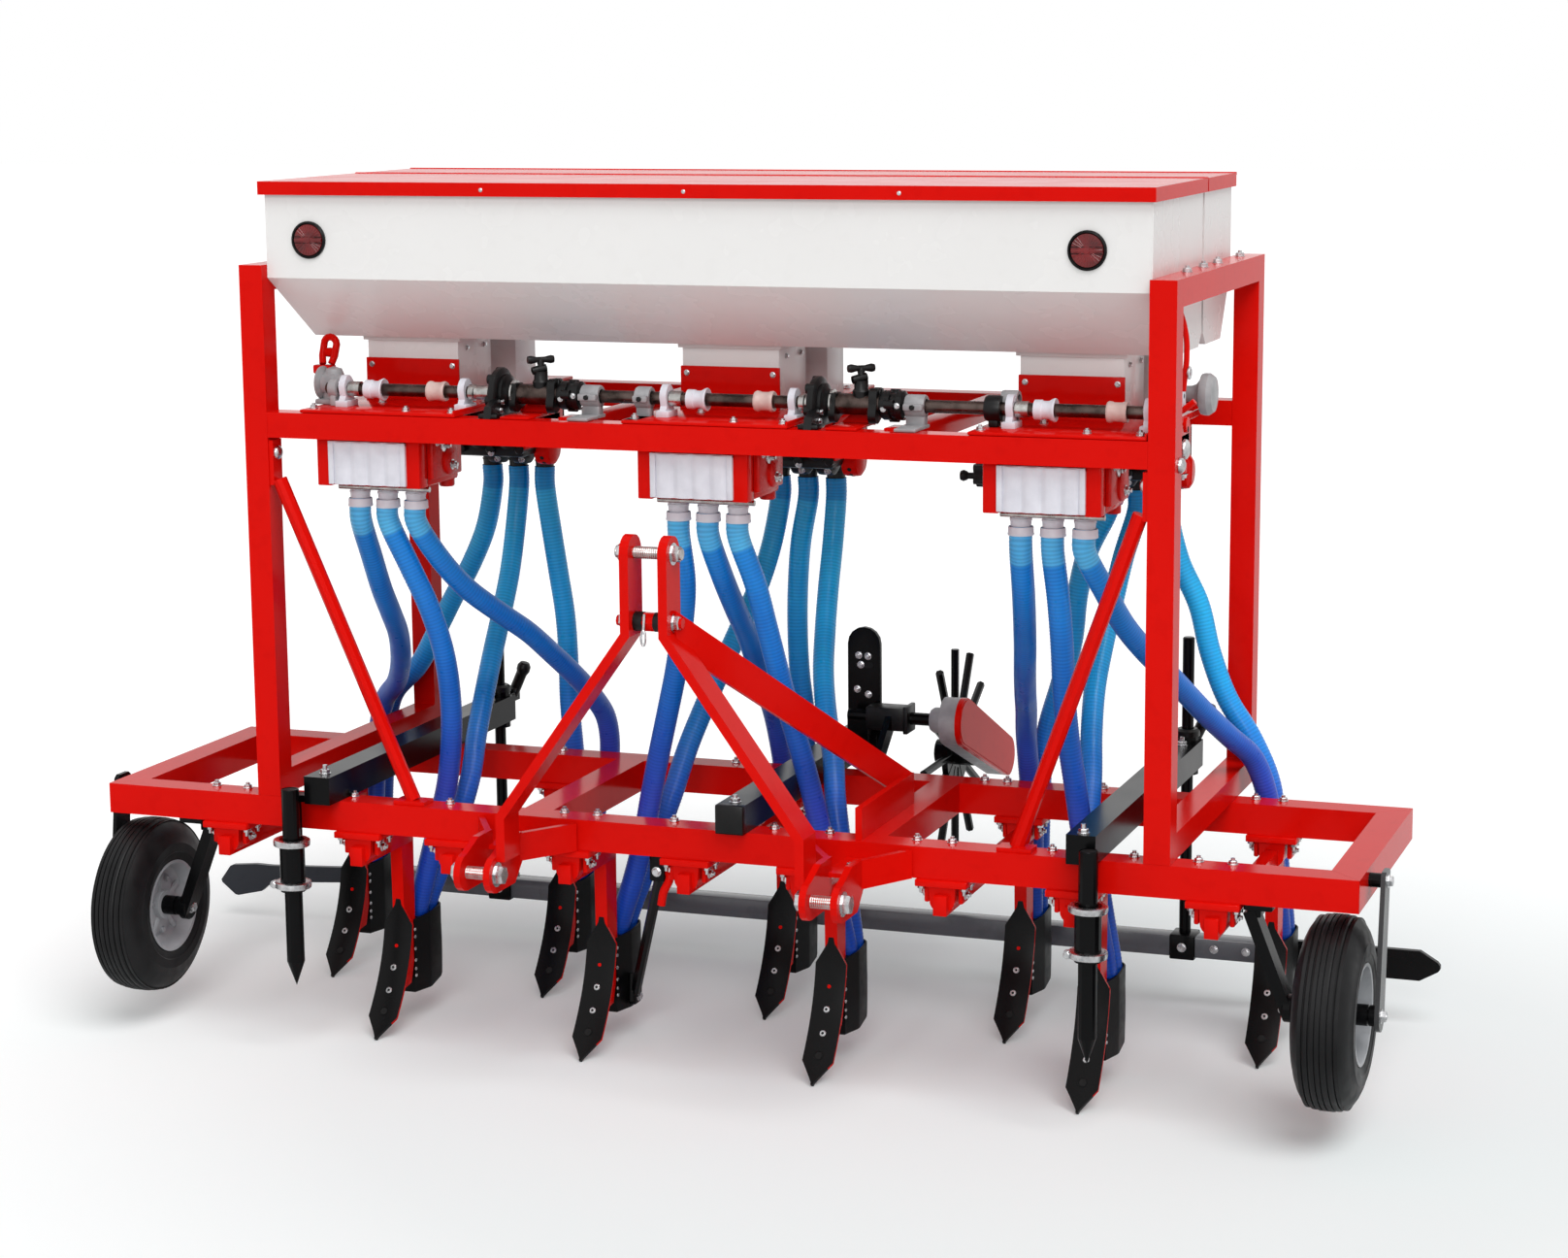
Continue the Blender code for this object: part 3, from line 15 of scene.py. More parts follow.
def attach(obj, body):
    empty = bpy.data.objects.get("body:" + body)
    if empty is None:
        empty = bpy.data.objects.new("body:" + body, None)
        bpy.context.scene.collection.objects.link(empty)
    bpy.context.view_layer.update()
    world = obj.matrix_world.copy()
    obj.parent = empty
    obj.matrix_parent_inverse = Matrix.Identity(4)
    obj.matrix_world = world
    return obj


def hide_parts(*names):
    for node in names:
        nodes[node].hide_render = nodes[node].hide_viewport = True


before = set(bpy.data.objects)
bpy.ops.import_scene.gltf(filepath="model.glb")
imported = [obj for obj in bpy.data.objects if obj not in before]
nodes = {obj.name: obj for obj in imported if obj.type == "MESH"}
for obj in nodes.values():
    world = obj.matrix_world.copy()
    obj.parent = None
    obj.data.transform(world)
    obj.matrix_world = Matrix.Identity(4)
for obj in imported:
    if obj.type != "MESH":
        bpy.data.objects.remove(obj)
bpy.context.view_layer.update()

AT = Vector((0.07725, -0.4375, 0.455))
MM = 0.001
PLACE = Matrix.Translation(AT) @ Matrix.Scale(MM, 4)

# Camera
CAMERA_AT = Vector((2.0104, -5.0566, 1.323)) + AT
CAMERA_YAW = radians(19.97)
CAMERA_PITCH = radians(10.17)
CAMERA_ROLL = -0.0085
FOCAL_PIXELS = 3348.04
IMAGE_WIDTH = 1616

# Sizes shared with the part, in millimetres
POST = 45
MID_RAIL_TOP = 695
TANK_FLOOR = 815
FRAME_TUBE = 55
FRAME_DEPTH = 530
GAP = 0.3
UNDER_BEAM = -FRAME_TUBE - GAP
ARM_TOP = 50 + GAP
PIN_X, PIN_Y, PIN_Z = 310, -198, -55
UNIT_X = (-612, 0, 612)
GROUP_SHIFT_REAR = 12
REAR_SPOUT_SHIFTS = (16, -6, 10)
DECK, PLATE = MID_RAIL_TOP + GAP, 6
DECK_TOP = DECK + PLATE
BOX_BOTTOM = 565
SPOUT_PITCH, SPOUT_BOTTOM = 55, 535
FRONT_SPOUT_Y, REAR_SPOUT_Y = 100, 598
SHAFT_Y, SHAFT_Z = 80, 732
HOSE_RADIUS, HOSE_STEP, HOSE_PAIR = 20, 85, 37.6
BOOT_MOUTH, BOOT_MOUTH_Z, HOSE_DEPTH = 188, -262, 30
ROW_X = (-908, -641, -462, -235, -12, 202, 450, 676, 912)
TINE_FRONT_POINT, TINE_REAR_POINT = 60, 400
RIB_TOP, RIB_BOTTOM = 80.5, 115
STAY_ROW = 4
SHOVEL_TIP, SHOVEL_HEIGHT, SHOVEL_HALF = -450, 235, 28.5
WHEEL_X, WHEEL_Y, WHEEL_Z = 1105, 55, -238
WHEEL_RADIUS, WHEEL_WIDTH, RIM_RADIUS = 161.5, 103, 83
FORK_REACH, FORK_TOP_X = 11, 963.5
ARM_X, STAND_Y, ROD_Y = 700, -61, 735
STAND_X = {-1: -742, 1: 719}
LEVELLER_SHIFT, LEVELLER_HALF, LEVELLER_Z, LEVELLER_SIDE = -80, 930, -340, 40
PIVOT_Y, PIVOT_Z, HUB_Y, HUB_Z = 610, 85, 900, -40
CASE_X, DRIVE_WHEEL_X = 290, 200

# The hoses' ribs, which the part leaves out
RIB_PITCH, RIB_DEPTH, HOSE_SIDES = 6.4, 0.7, 20

# Directions and sides
RIGHT, FORWARD, BACK, UP, DOWN = (1, 0, 0), (0, -1, 0), (0, 1, 0), (0, 0, 1), (0, 0, -1)
SIDES = (-1, 1)
WORDS = (("left", -1), ("right", 1))


def camera():
    yaw, pitch, roll = CAMERA_YAW, CAMERA_PITCH, CAMERA_ROLL
    ahead = Vector((-sin(yaw) * cos(pitch), cos(yaw) * cos(pitch), -sin(pitch)))
    level = Vector((cos(yaw), sin(yaw), 0))
    upward = level.cross(ahead)
    right = cos(roll) * level + sin(roll) * upward
    up = cos(roll) * upward - sin(roll) * level
    data = bpy.data.cameras.new("camera")
    data.sensor_width = 36
    data.lens = 36 * FOCAL_PIXELS / IMAGE_WIDTH
    data.clip_start, data.clip_end = 0.1, 100
    thing = bpy.data.objects.new("camera", data)
    bpy.context.scene.collection.objects.link(thing)
    turn = Matrix((right, up, -ahead)).transposed()
    thing.matrix_world = Matrix.Translation(CAMERA_AT) @ turn.to_4x4()
    bpy.context.scene.camera = thing


camera()


# Materials


class Nodes:
    """The node tree of a material or world, with short calls to add and link nodes."""

    def __init__(self, owner):
        owner.use_nodes = True
        self.owner, self.tree = owner, owner.node_tree

    def give(self, socket, value):
        """Links an output to a socket, or sets a plain value on it."""
        if isinstance(value, bpy.types.NodeSocket):
            self.tree.links.new(value, socket)
        else:
            socket.default_value = (*value, 1) if socket.type == "RGBA" else value

    def add(self, kind, sockets=(), **values):
        node = self.tree.nodes.new("ShaderNode" + kind)
        for key, value in values.items():
            setattr(node, key, value)
        for key, value in sockets:
            self.give(node.inputs[key], value)
        return node

    def ramp(self, value, *stops):
        node = self.add("ValToRGB", [("Fac", value)])
        elements = node.color_ramp.elements
        while len(elements) < len(stops):
            elements.new(0.5)
        for element, (at, colour) in zip(elements, stops):
            element.position = at
            element.color = (*colour, 1)
        return node.outputs["Color"]

    def span(self, value, low, high, to_low=0.0, to_high=1.0):
        keys = ("Value", "From Min", "From Max", "To Min", "To Max")
        return self.add("MapRange", zip(keys, (value, low, high, to_low, to_high))).outputs["Result"]

    def mix(self, share, first, second, blend="MIX"):
        sockets = ((0, share), (6, first), (7, second))
        return self.add("Mix", sockets, data_type="RGBA", blend_type=blend).outputs[2]

    def maths(self, operation, *values):
        return self.add("Math", enumerate(values), operation=operation).outputs[0]

    def seen(self):
        """The kinds of ray, and 1 for rays from the camera or through glass, 0 for the others."""
        rays = self.add("LightPath").outputs
        return rays, self.maths("MAXIMUM", rays["Is Camera Ray"], rays["Is Transmission Ray"])


class Finish(Nodes):
    """A material on the Principled shader, in object coordinates."""

    def __init__(self, name):
        super().__init__(bpy.data.materials.new(name))
        self.shader = self.tree.nodes["Principled BSDF"]
        self.place = self.add("TexCoord").outputs["Object"]

    def noise(self, scale, detail=3.0):
        sockets = (("Scale", scale), ("Detail", detail), ("Vector", self.place))
        return self.add("TexNoise", sockets).outputs["Fac"]

    def uneven(self, scale, detail, low, high):
        return self.span(self.noise(scale, detail), 0.3, 0.7, low, high)

    def bump(self, height, strength, distance):
        sockets = (("Strength", strength), ("Distance", distance), ("Height", height))
        self.set(Normal=self.add("Bump", sockets).outputs["Normal"])

    def set(self, **values):
        for key, value in values.items():
            self.give(self.shader.inputs[key.replace("_", " ")], value)
        return self.owner


def paint(name, colour, dull, rough, shine=0.2, peel=260.0):
    """Sprayed paint: faint uneven tone, thin spots at a smaller scale, a light orange peel."""
    n = Finish(name)
    wide = n.ramp(n.noise(4.0), (0.3, dull), (0.7, colour))
    thin = n.ramp(n.noise(38.0, 4.0), (0.34, dull), (0.46, colour))
    n.bump(n.noise(peel, 2.0), 0.06, 0.0004)
    n.set(Specular_IOR_Level=shine, Roughness=n.uneven(11.0, 3.0, rough * 0.9, rough * 1.15))
    return n.set(Base_Color=n.mix(0.35, wide, thin))


def metal(name, colour, dark, rough, scale=60.0):
    """Plated or bare metal with fine mottling."""
    n = Finish(name)
    n.bump(n.noise(scale * 9, 3.0), 0.15, 0.0004)
    n.set(Metallic=1.0, Roughness=n.uneven(scale * 2.3, 4.0, rough * 0.75, rough * 1.35))
    return n.set(Base_Color=n.ramp(n.noise(scale, 5.0), (0.32, dark), (0.66, colour)))


def cast(name, colour, dark, rough, shine=0.25, **more):
    """Painted casting: sandy skin."""
    n = Finish(name)
    n.bump(n.noise(420.0, 4.0), 0.35, 0.0007)
    n.set(Specular_IOR_Level=shine, Roughness=n.uneven(50.0, 4.0, rough * 0.8, rough * 1.2), **more)
    return n.set(Base_Color=n.ramp(n.noise(35.0, 5.0), (0.3, dark), (0.65, colour)))


def tyre_rubber():
    """Black rubber, a little dusty and rough."""
    n = Finish("tyre_rubber")
    n.bump(n.noise(500.0, 4.0), 0.25, 0.0006)
    n.set(Specular_IOR_Level=0.2, Roughness=n.uneven(30.0, 4.0, 0.36, 0.56))
    dark, dusty = (0.003, 0.003, 0.0034), (0.0095, 0.0095, 0.0102)
    return n.set(Base_Color=n.ramp(n.noise(16.0, 6.0), (0.3, dark), (0.75, dusty)))


def hose_plastic(name, cuff, cuff_length, *stops):
    """Translucent hose: a cuff at its top, painted light that changes with height, and painted shade in the
    grooves.
    """
    n = Finish(name)
    along = n.add("Attribute", attribute_name="along").outputs["Fac"]
    height = n.add("SeparateXYZ", [("Vector", n.place)]).outputs["Z"]
    # Below the cuff the colour follows height: painted light.
    tone = n.mix(n.span(along, cuff_length, cuff_length + 0.006), cuff, n.ramp(height, *stops))
    streaks = n.ramp(n.noise(9.0, 4.0), (0.3, (0.72, 0.76, 0.86)), (0.7, (1.0, 1.0, 1.0)))
    # Painted shade: the colour darkens in the grooves between the ribs.
    wave = n.maths("COSINE", n.maths("MULTIPLY", along, 2 * pi / (RIB_PITCH * MM)))
    ribs = n.ramp(n.span(wave, -1.0, 1.0), (0.0, (0.72, 0.74, 0.8)), (1.0, (1.0, 1.0, 1.0)))
    n.bump(n.noise(240.0), 0.08, 0.0005)
    n.set(Specular_IOR_Level=0.3, Subsurface_Weight=0.25, Subsurface_Scale=0.006)
    n.set(Roughness=n.uneven(40.0, 3.0, 0.26, 0.4))
    return n.set(Base_Color=n.mix(1.0, n.mix(1.0, tone, streaks, "MULTIPLY"), ribs, "MULTIPLY"))


RED = paint("red_gloss", (0.68, 0.005, 0.0025), (0.61, 0.0036, 0.0018), 0.15, 0.05)
WHITE = paint("white_sheet", (0.8, 0.795, 0.785), (0.775, 0.768, 0.757), 0.26, 0.3)
BLACK = paint("black_enamel", (0.0026, 0.0026, 0.003), (0.0014, 0.0014, 0.0016), 0.22, 0.12)
# Painted light: a lighter, shinier black for the right fork's plates, whose outer face is lit.
LIT_FORK_BLACK = paint("fork_enamel", (0.04, 0.04, 0.042), (0.026, 0.026, 0.028), 0.26, 0.4)
GREY = paint("grey_enamel", (0.03, 0.034, 0.044), (0.022, 0.025, 0.032), 0.3, 0.25)
SLATE = paint("slate_enamel", (0.105, 0.11, 0.126), (0.074, 0.079, 0.092), 0.2, 0.6)
BLADE = paint("blade_black", (0.0034, 0.0033, 0.0036), (0.0018, 0.0018, 0.002), 0.26, 0.14, 420.0)
RIM_GREY = paint("rim_silver", (0.4, 0.41, 0.43), (0.3, 0.31, 0.33), 0.3, 0.3)
WRAP = cast("boot_black", (0.0036, 0.0036, 0.004), (0.0018, 0.0018, 0.002), 0.36, 0.14)
BLACK_CAST = cast("black_casting", (0.005, 0.005, 0.0054), (0.0018, 0.0018, 0.0018), 0.36)
# SHADOW_BLACK is painted shadow: a flat dark finish put in holes, slots and sockets for the shade inside
# them.
SHADOW_BLACK = cast("socket_black", (0.004, 0.004, 0.004), (0.002, 0.002, 0.002), 0.7)
RED_CAST = cast("red_casting", (0.62, 0.0055, 0.003), (0.5, 0.0045, 0.0025), 0.3, 0.2)
GREY_CAST = cast("grey_casting", (0.38, 0.38, 0.39), (0.27, 0.27, 0.28), 0.36)
WHITE_PLASTIC = cast("white_plastic", (0.72, 0.72, 0.78), (0.64, 0.64, 0.7), 0.34)
PINK_PLASTIC = cast("sleeve_plastic", (0.66, 0.5, 0.46), (0.54, 0.38, 0.35), 0.34)
LENS = cast("reflector_lens", (0.2, 0.004, 0.006), (0.07, 0.002, 0.003), 0.18, Coat_Weight=0.6)
ZINC = metal("zinc_plate", (0.66, 0.66, 0.67), (0.4, 0.4, 0.41), 0.26, 90.0)
STEEL = metal("bright_steel", (0.56, 0.55, 0.53), (0.3, 0.29, 0.28), 0.28)
DARK_STEEL = metal("oiled_steel", (0.13, 0.095, 0.085), (0.04, 0.03, 0.026), 0.3, 40.0)
LENS_RING = metal("reflector_ring", (0.02, 0.02, 0.02), (0.01, 0.01, 0.01), 0.4)
TYRE = tyre_rubber()
# Colour by height in metres: painted light, lighter and more cyan higher up where light shines through the
# hose, with a purple tinge at frame level.
FRONT_HOSE = hose_plastic(
    "front_hose", (0.11, 0.56, 0.92), 0.058,
    (0.2, (0.004, 0.07, 0.5)), (0.38, (0.012, 0.08, 0.56)), (0.45, (0.045, 0.085, 0.6)),
    (0.53, (0.024, 0.12, 0.64)), (0.64, (0.008, 0.19, 0.72)), (0.95, (0.012, 0.3, 0.8)),
)
# The rear hoses are lighter than the front ones: painted light against the shade under the tank.
REAR_HOSE = hose_plastic(
    "rear_hose", (0.005, 0.36, 0.78), 0.04,
    (0.2, (0.004, 0.085, 0.52)), (0.38, (0.018, 0.13, 0.62)), (0.45, (0.04, 0.19, 0.76)),
    (0.56, (0.024, 0.33, 0.88)), (0.66, (0.02, 0.5, 0.97)), (0.95, (0.03, 0.58, 0.98)),
)

CAD_FINISH = (
    (RED, ("front_beam", "rear_beam", "end_beam", "cross_tube", "side_frame", "mid_rail")),
    (RED, ("corner_brace", "front_lid", "rear_lid", "lower_bracket", "a_frame")),
    (WHITE, ("front_tank", "rear_tank")),
    (BLACK, ("wheel_fork", "stand_arm", "parking_stand", "drive_carrier", "drive_wheel")),
    (BLACK_CAST, ("clutch", "clamp_knob")),
    (DARK_STEEL, ("feed_shaft",)),
    (GREY, ("leveller_bar",)),
    (RED_CAST, ("drive_arm",)),
    (TYRE, ("gauge_wheel",)),
)


# Shapes


def spread(first, last, steps):
    """Even steps from first to last, both included."""
    return [first + (last - first) * k / steps for k in range(steps + 1)]


def around(count, phase=0):
    """Angles spread evenly over a full turn."""
    return [2 * pi * k / count + phase for k in range(count)]


def arc(a, b, radius, angles):
    """Points on a circle, at the angles given."""
    return [(a + radius * cos(angle), b + radius * sin(angle)) for angle in angles]


def mirrored(half):
    """A profile of (radius, height) points with its own mirror image below it."""
    return half + [(radius, -height) for radius, height in reversed(half)]


def band(start, count):
    """The faces between a ring of vertices and the next ring."""
    pairs = [(start + k, start + (k + 1) % count) for k in range(count)]
    return [[a, b, b + count, a + count] for a, b in pairs]


def show(name, mesh, body, slot, replaces=()):
    """Puts a mesh into the scene, on its body. The slot is not used."""
    thing = bpy.data.objects.new(name, mesh)
    bpy.context.scene.collection.objects.link(thing)
    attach(thing, body)
    if replaces:
        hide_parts(*replaces)
    return thing


def tube_rings(points, side, sides):
    """The ring of directions round each point of a line, carried along it without a twist."""
    for i, here in enumerate(points):
        along = (points[min(i + 1, len(points) - 1)] - points[max(i - 1, 0)]).normalized()
        side = side or along.orthogonal().normalized()
        side = (side - along * side.dot(along)).normalized()
        other = along.cross(side)
        yield here, [side * cos(angle) + other * sin(angle) for angle in around(sides)]


class Shape:
    """One mesh under construction, in machine coordinates from x on, that takes several materials."""

    def __init__(self, name, body, slot, material, x=0):
        self.name, self.body, self.slot, self.x = name, body, slot, x
        self.materials, self.index = [material], 0
        self.build = bmesh.new()

    def use(self, material):
        if material not in self.materials:
            self.materials.append(material)
        self.index = self.materials.index(material)
        return self

    def faces(self, verts, groups):
        self.join([self.build.verts.new((a + self.x, b, c)) for a, b, c in verts], groups)
        return self

    def join(self, made, groups):
        for group in groups:
            self.build.faces.new([made[i] for i in group]).material_index = self.index

    def box(self, low, high, chamfer=1.5):
        """A box with chamfered edges between two opposite corners."""
        part = bmesh.new()
        bmesh.ops.create_cube(part, size=1.0)
        middle = [(a + b) / 2 for a, b in zip(low, high)]
        size = [abs(b - a) for a, b in zip(low, high)]
        bmesh.ops.transform(part, matrix=Matrix.LocRotScale(middle, None, size), verts=part.verts)
        chamfer = min(chamfer, min(size) / 3)
        bmesh.ops.bevel(part, geom=part.edges[:], offset=chamfer, segments=2, profile=0.5, affect="EDGES")
        part.verts.index_update()
        self.faces([v.co.copy() for v in part.verts], [[v.index for v in f.verts] for f in part.faces])
        part.free()
        return self

    def turned(self, profile, at, axis, sides=20, phase=0):
        """(radius, height) points turned about the axis through at; ends on the axis are closed."""
        turn = Vector((0, 0, 1)).rotation_difference(Vector(axis).normalized()).to_matrix()
        rings, verts = [], []
        for radius, height in profile:
            count = sides if radius > 1e-6 else 1
            rings.append(range(len(verts), len(verts) + count))
            for a, b in arc(0, 0, radius, around(count, phase)):
                verts.append(Vector(at) + turn @ Vector((a, b, height)))
        groups = []
        for a, b in zip(rings, rings[1:]):
            for i in range(sides):
                k = (i + 1) % sides
                corner = [a[i % len(a)], a[k % len(a)], b[k % len(b)], b[i % len(b)]]
                groups.append(list(dict.fromkeys(corner)))
        return self.faces(verts, [g for g in groups if len(g) > 2])

    def rod(self, start, end, radius, sides=16, chamfer=0):
        axis = Vector(end) - Vector(start)
        profile = [(radius, chamfer), (radius, axis.length - chamfer)]
        if chamfer:
            profile = [(radius - chamfer, 0), *profile, (radius - chamfer, axis.length)]
        return self.turned([(0, 0), *profile, (0, axis.length)], start, axis, sides)

    def prism(self, outline, normal, low, high):
        """A flat outline extruded along X, Y or Z."""
        axis = "XYZ".index(normal)
        levels = sorted((low, high))
        verts = [[*point[:axis], level, *point[axis:]] for level in levels for point in outline]
        count = len(outline)
        ends = [list(range(count)), list(range(count, 2 * count))]
        return self.faces(verts, ends + band(0, count))

    def sweep(self, points, radius, sides=10):
        """A round bar along points, with flat ends."""
        verts = []
        for here, ring in tube_rings([Vector(p) for p in points], None, sides):
            verts += [here + out * radius for out in ring]
        groups = [list(range(sides)), list(range(len(verts) - sides, len(verts)))]
        for start in range(0, len(verts) - sides, sides):
            groups += band(start, sides)
        return self.faces(verts, groups)

    def bolt(self, at, axis, size=8, stud=0, washer=True):
        """A hexagon head or nut on a washer, with a stud end through it where stud is given."""
        height = 0
        if washer:
            self.turned([(size * 1.25, 0), (size * 1.25, 1.2), (size * 0.4, 1.4)], at, axis, 18)
            height = 1.3
        top = height + size * 0.75
        profile = [(size, height - 0.5), (size, top - size * 0.12), (size * 0.86, top), (0, top)]
        self.turned(profile, at, axis, 6, 0.3)
        if stud:
            self.turned([(size * 0.5, top - 1), (size * 0.5, top + stud), (0, top + stud)], at, axis, 12)
        return self

    def bolts(self, places, axis, size, stud=0):
        for at in places:
            self.bolt(at, axis, size, stud)
        return self

    def dome(self, at, axis, radius, height):
        profile = [(radius, 0), (radius, height * 0.25)]
        profile += [(radius * cos(a), height * (0.25 + 0.75 * sin(a))) for a in (0.4, 0.8, 1.15)]
        return self.turned([*profile, (0, height)], at, axis, 18)

    def mesh(self, smooth=35):
        bmesh.ops.recalc_face_normals(self.build, faces=self.build.faces[:])
        bmesh.ops.transform(self.build, matrix=PLACE, verts=self.build.verts[:])
        mesh = bpy.data.meshes.new(self.name)
        self.build.to_mesh(mesh)
        self.build.free()
        for material in self.materials:
            mesh.materials.append(material)
        mesh.shade_smooth()
        mesh.set_sharp_from_angle(angle=radians(smooth))
        return mesh

    def done(self, *replaces, smooth=35):
        return show(self.name, self.mesh(smooth), self.body, self.slot, replaces)


# Seed tubes

# The points each row's front and rear tube runs through, as in the part
HOSE_ROUTES = (
    (
        [(-678, 194, 353), (-714, 327, 244), (-783, 462, 142),
         (-836, 525, 88), (-882, 562, 20)],
        [(-657, 600, 413), (-694, 602, 333), (-740, 603, 256),
         (-806, 604, 139), (-852, 604, 88), (-884, 604, 20)],
    ),
    (
        [(-582, 114, 417), (-547, 139, 312), (-537, 169, 208),
         (-545, 192, 103), (-563, 210, 2)],
        [(-587, 574, 386), (-583, 530, 308), (-581, 447, 181),
         (-576, 370, 65), (-574, 306, -51)],
    ),
    (
        [(-530, 138, 423), (-492, 199, 349), (-443, 276, 286),
         (-422, 335, 238), (-397, 419, 169), (-390, 524, 84), (-388, 562, -7)],
        [(-515, 601, 385), (-502, 603, 295), (-491, 603, 205), (-488, 604, 53)],
    ),
    (
        [(-53, 119, 390), (-85, 156, 253), (-109, 178, 178),
         (-150, 203, 37), (-185, 215, -111)],
        [(-68, 570, 370), (-101, 487, 242), (-126, 430, 155),
         (-148, 370, 65), (-164, 318, -25)],
    ),
    (
        [(10, 144, 411), (12, 196, 351), (4, 279, 284), (-10, 369, 210),
         (-32, 482, 132), (-41, 550, 56), (-34, 568, -40)],
        [(-10, 600, 410), (-19, 603, 283), (-15, 603, 155), (-6, 604, 60)],
    ),
    (
        [(82, 117, 402), (94, 135, 327), (112, 170, 204), (133, 192, 102),
         (151, 208, 12)],
        [(60, 580, 413), (68, 516, 286), (91, 435, 165), (128, 375, 70),
         (148, 330, -5)],
    ),
    (
        [(549, 148, 404), (523, 250, 308), (493, 358, 218), (460, 487, 128),
         (443, 552, 46), (450, 568, -60)],
        [(530, 601, 385), (519, 603, 282), (500, 603, 196), (470, 604, 93),
         (457, 604, 14)],
    ),
    (
        [(618, 114, 417), (620, 131, 339), (617, 169, 208), (627, 194, 88),
         (636, 210, -2)],
        [(613, 579, 412), (601, 536, 318), (595, 483, 236), (596, 430, 156),
         (611, 378, 77), (620, 325, -10)],
    ),
    (
        [(693, 137, 424), (719, 206, 343), (756, 301, 266), (807, 439, 157),
         (850, 524, 84), (882, 562, 15)],
        [(706, 600, 420), (743, 602, 343), (774, 603, 229), (812, 604, 140),
         (850, 604, 85), (880, 605, 20)],
    ),
)


def curve_points(points, steps=24):
    """A fine Catmull-Rom curve through the points."""
    points = [Vector(p) for p in points]
    ends = [points[0] * 2 - points[1]] + points + [points[-1] * 2 - points[-2]]
    fine = []
    for i in range(1, len(ends) - 2):
        p0, p1, p2, p3 = ends[i - 1 : i + 3]
        for k in range(steps):
            t = k / steps
            near = 2 * p1 + (p2 - p0) * t
            far = (2 * p0 - 5 * p1 + 4 * p2 - p3) * t * t + (3 * p1 - p0 - 3 * p2 + p3) * t * t * t
            fine.append(0.5 * (near + far))
    return fine + [points[-1]]


def resample(points, step):
    """Points about a step apart along a polyline, and the distance between them."""
    lengths = [0]
    for a, b in zip(points, points[1:]):
        lengths.append(lengths[-1] + (b - a).length)
    count = max(4, round(lengths[-1] / step))
    out, index = [], 0
    for i in range(count + 1):
        target = lengths[-1] * i / count
        while index < len(points) - 2 and lengths[index + 1] < target:
            index += 1
        span = lengths[index + 1] - lengths[index]
        share = (target - lengths[index]) / span if span else 0
        out.append(points[index].lerp(points[index + 1], min(1.0, share)))
    return out, lengths[-1]


def tine_point(i):
    """Where the tine of row i stands, front to back: even rows behind, odd rows in front."""
    return TINE_FRONT_POINT if i % 2 else TINE_REAR_POINT


def hose(name, number, start, via, end, material):
    """A ribbed hose along the part's own route."""
    lead = Vector((0, 0, 2 * HOSE_RADIUS))
    coarse = resample(curve_points([start - lead, *via, end + lead]), HOSE_STEP)[0]
    path, length = resample(curve_points([start, *coarse, end], 12), RIB_PITCH / 2)
    build = bmesh.new()
    shares = build.verts.layers.float.new("along")
    rings = []
    for i, (here, ring) in enumerate(tube_rings(path, Vector((1, 0, 0)), HOSE_SIDES)):
        radius = HOSE_RADIUS - 0.2 - (RIB_DEPTH if i % 2 else 0)
        rings.append([build.verts.new(here + out * radius) for out in ring])
        for vert in rings[-1]:
            vert[shares] = MM * length * i / (len(path) - 1)
    for a, b in zip(rings, rings[1:]):
        for k in range(HOSE_SIDES):
            j = (k + 1) % HOSE_SIDES
            build.faces.new((a[k], a[j], b[j], b[k]))
    bmesh.ops.transform(build, matrix=PLACE, verts=build.verts[:])
    mesh = bpy.data.meshes.new(name)
    build.to_mesh(mesh)
    build.free()
    mesh.materials.append(material)
    mesh.shade_smooth()
    thing = show(name, mesh, "frame", "blue_hose", [f"seed_tubes_{number}"])
    centres = [tuple(PLACE @ p) for p in path]
    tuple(centres[0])


def seed_tubes():
    top = SPOUT_BOTTOM - GAP
    for i, x in enumerate(ROW_X):
        group, step = i // 3, i % 3 - 1
        rear_x = UNIT_X[group] + GROUP_SHIFT_REAR + REAR_SPOUT_SHIFTS[group] + step * SPOUT_PITCH
        starts = (UNIT_X[group] + step * SPOUT_PITCH, FRONT_SPOUT_Y, top), (rear_x, REAR_SPOUT_Y, top)
        for k, (word, material) in enumerate((("front", FRONT_HOSE), ("rear", REAR_HOSE))):
            end = (x, tine_point(i) + BOOT_MOUTH + (2 * k - 1) * HOSE_PAIR / 2, BOOT_MOUTH_Z - HOSE_DEPTH)
            name = f"seed_tube_{i + 1}_{word}"
            hose(name, i + 1, Vector(starts[k]), HOSE_ROUTES[i][k], Vector(end), material)


seed_tubes()


# Metering units


def spouts(shape, shift, y):
    """Three round outlets, each with a bead above the hose."""
    length = BOX_BOTTOM + 6 - SPOUT_BOTTOM
    profile = [(0, 0), (17.2, 0), (17.8, 10), (18.8, 10.5), (18.8, 14)]
    profile += [(17.6, 14.5), (17.6, length * 0.8), (19, length)]
    for step in (-1, 0, 1):
        shape.turned(profile, (shift + step * SPOUT_PITCH, y, SPOUT_BOTTOM - 0.2), UP, 28)


def neck(word, c, front, back, rim_front, rim_back):
    """The sheet chute between a tank and its unit, with a rim under the tank."""
    part = Shape(f"{word}_neck", "frame", "white_paint", WHITE, c)
    part.box((-90, front, DECK + 4), (90, back, TANK_FLOOR - GAP), 2)
    part.box((-96, rim_front, TANK_FLOOR - 8), (96, rim_back, TANK_FLOOR - 0.8), 1)
    return part


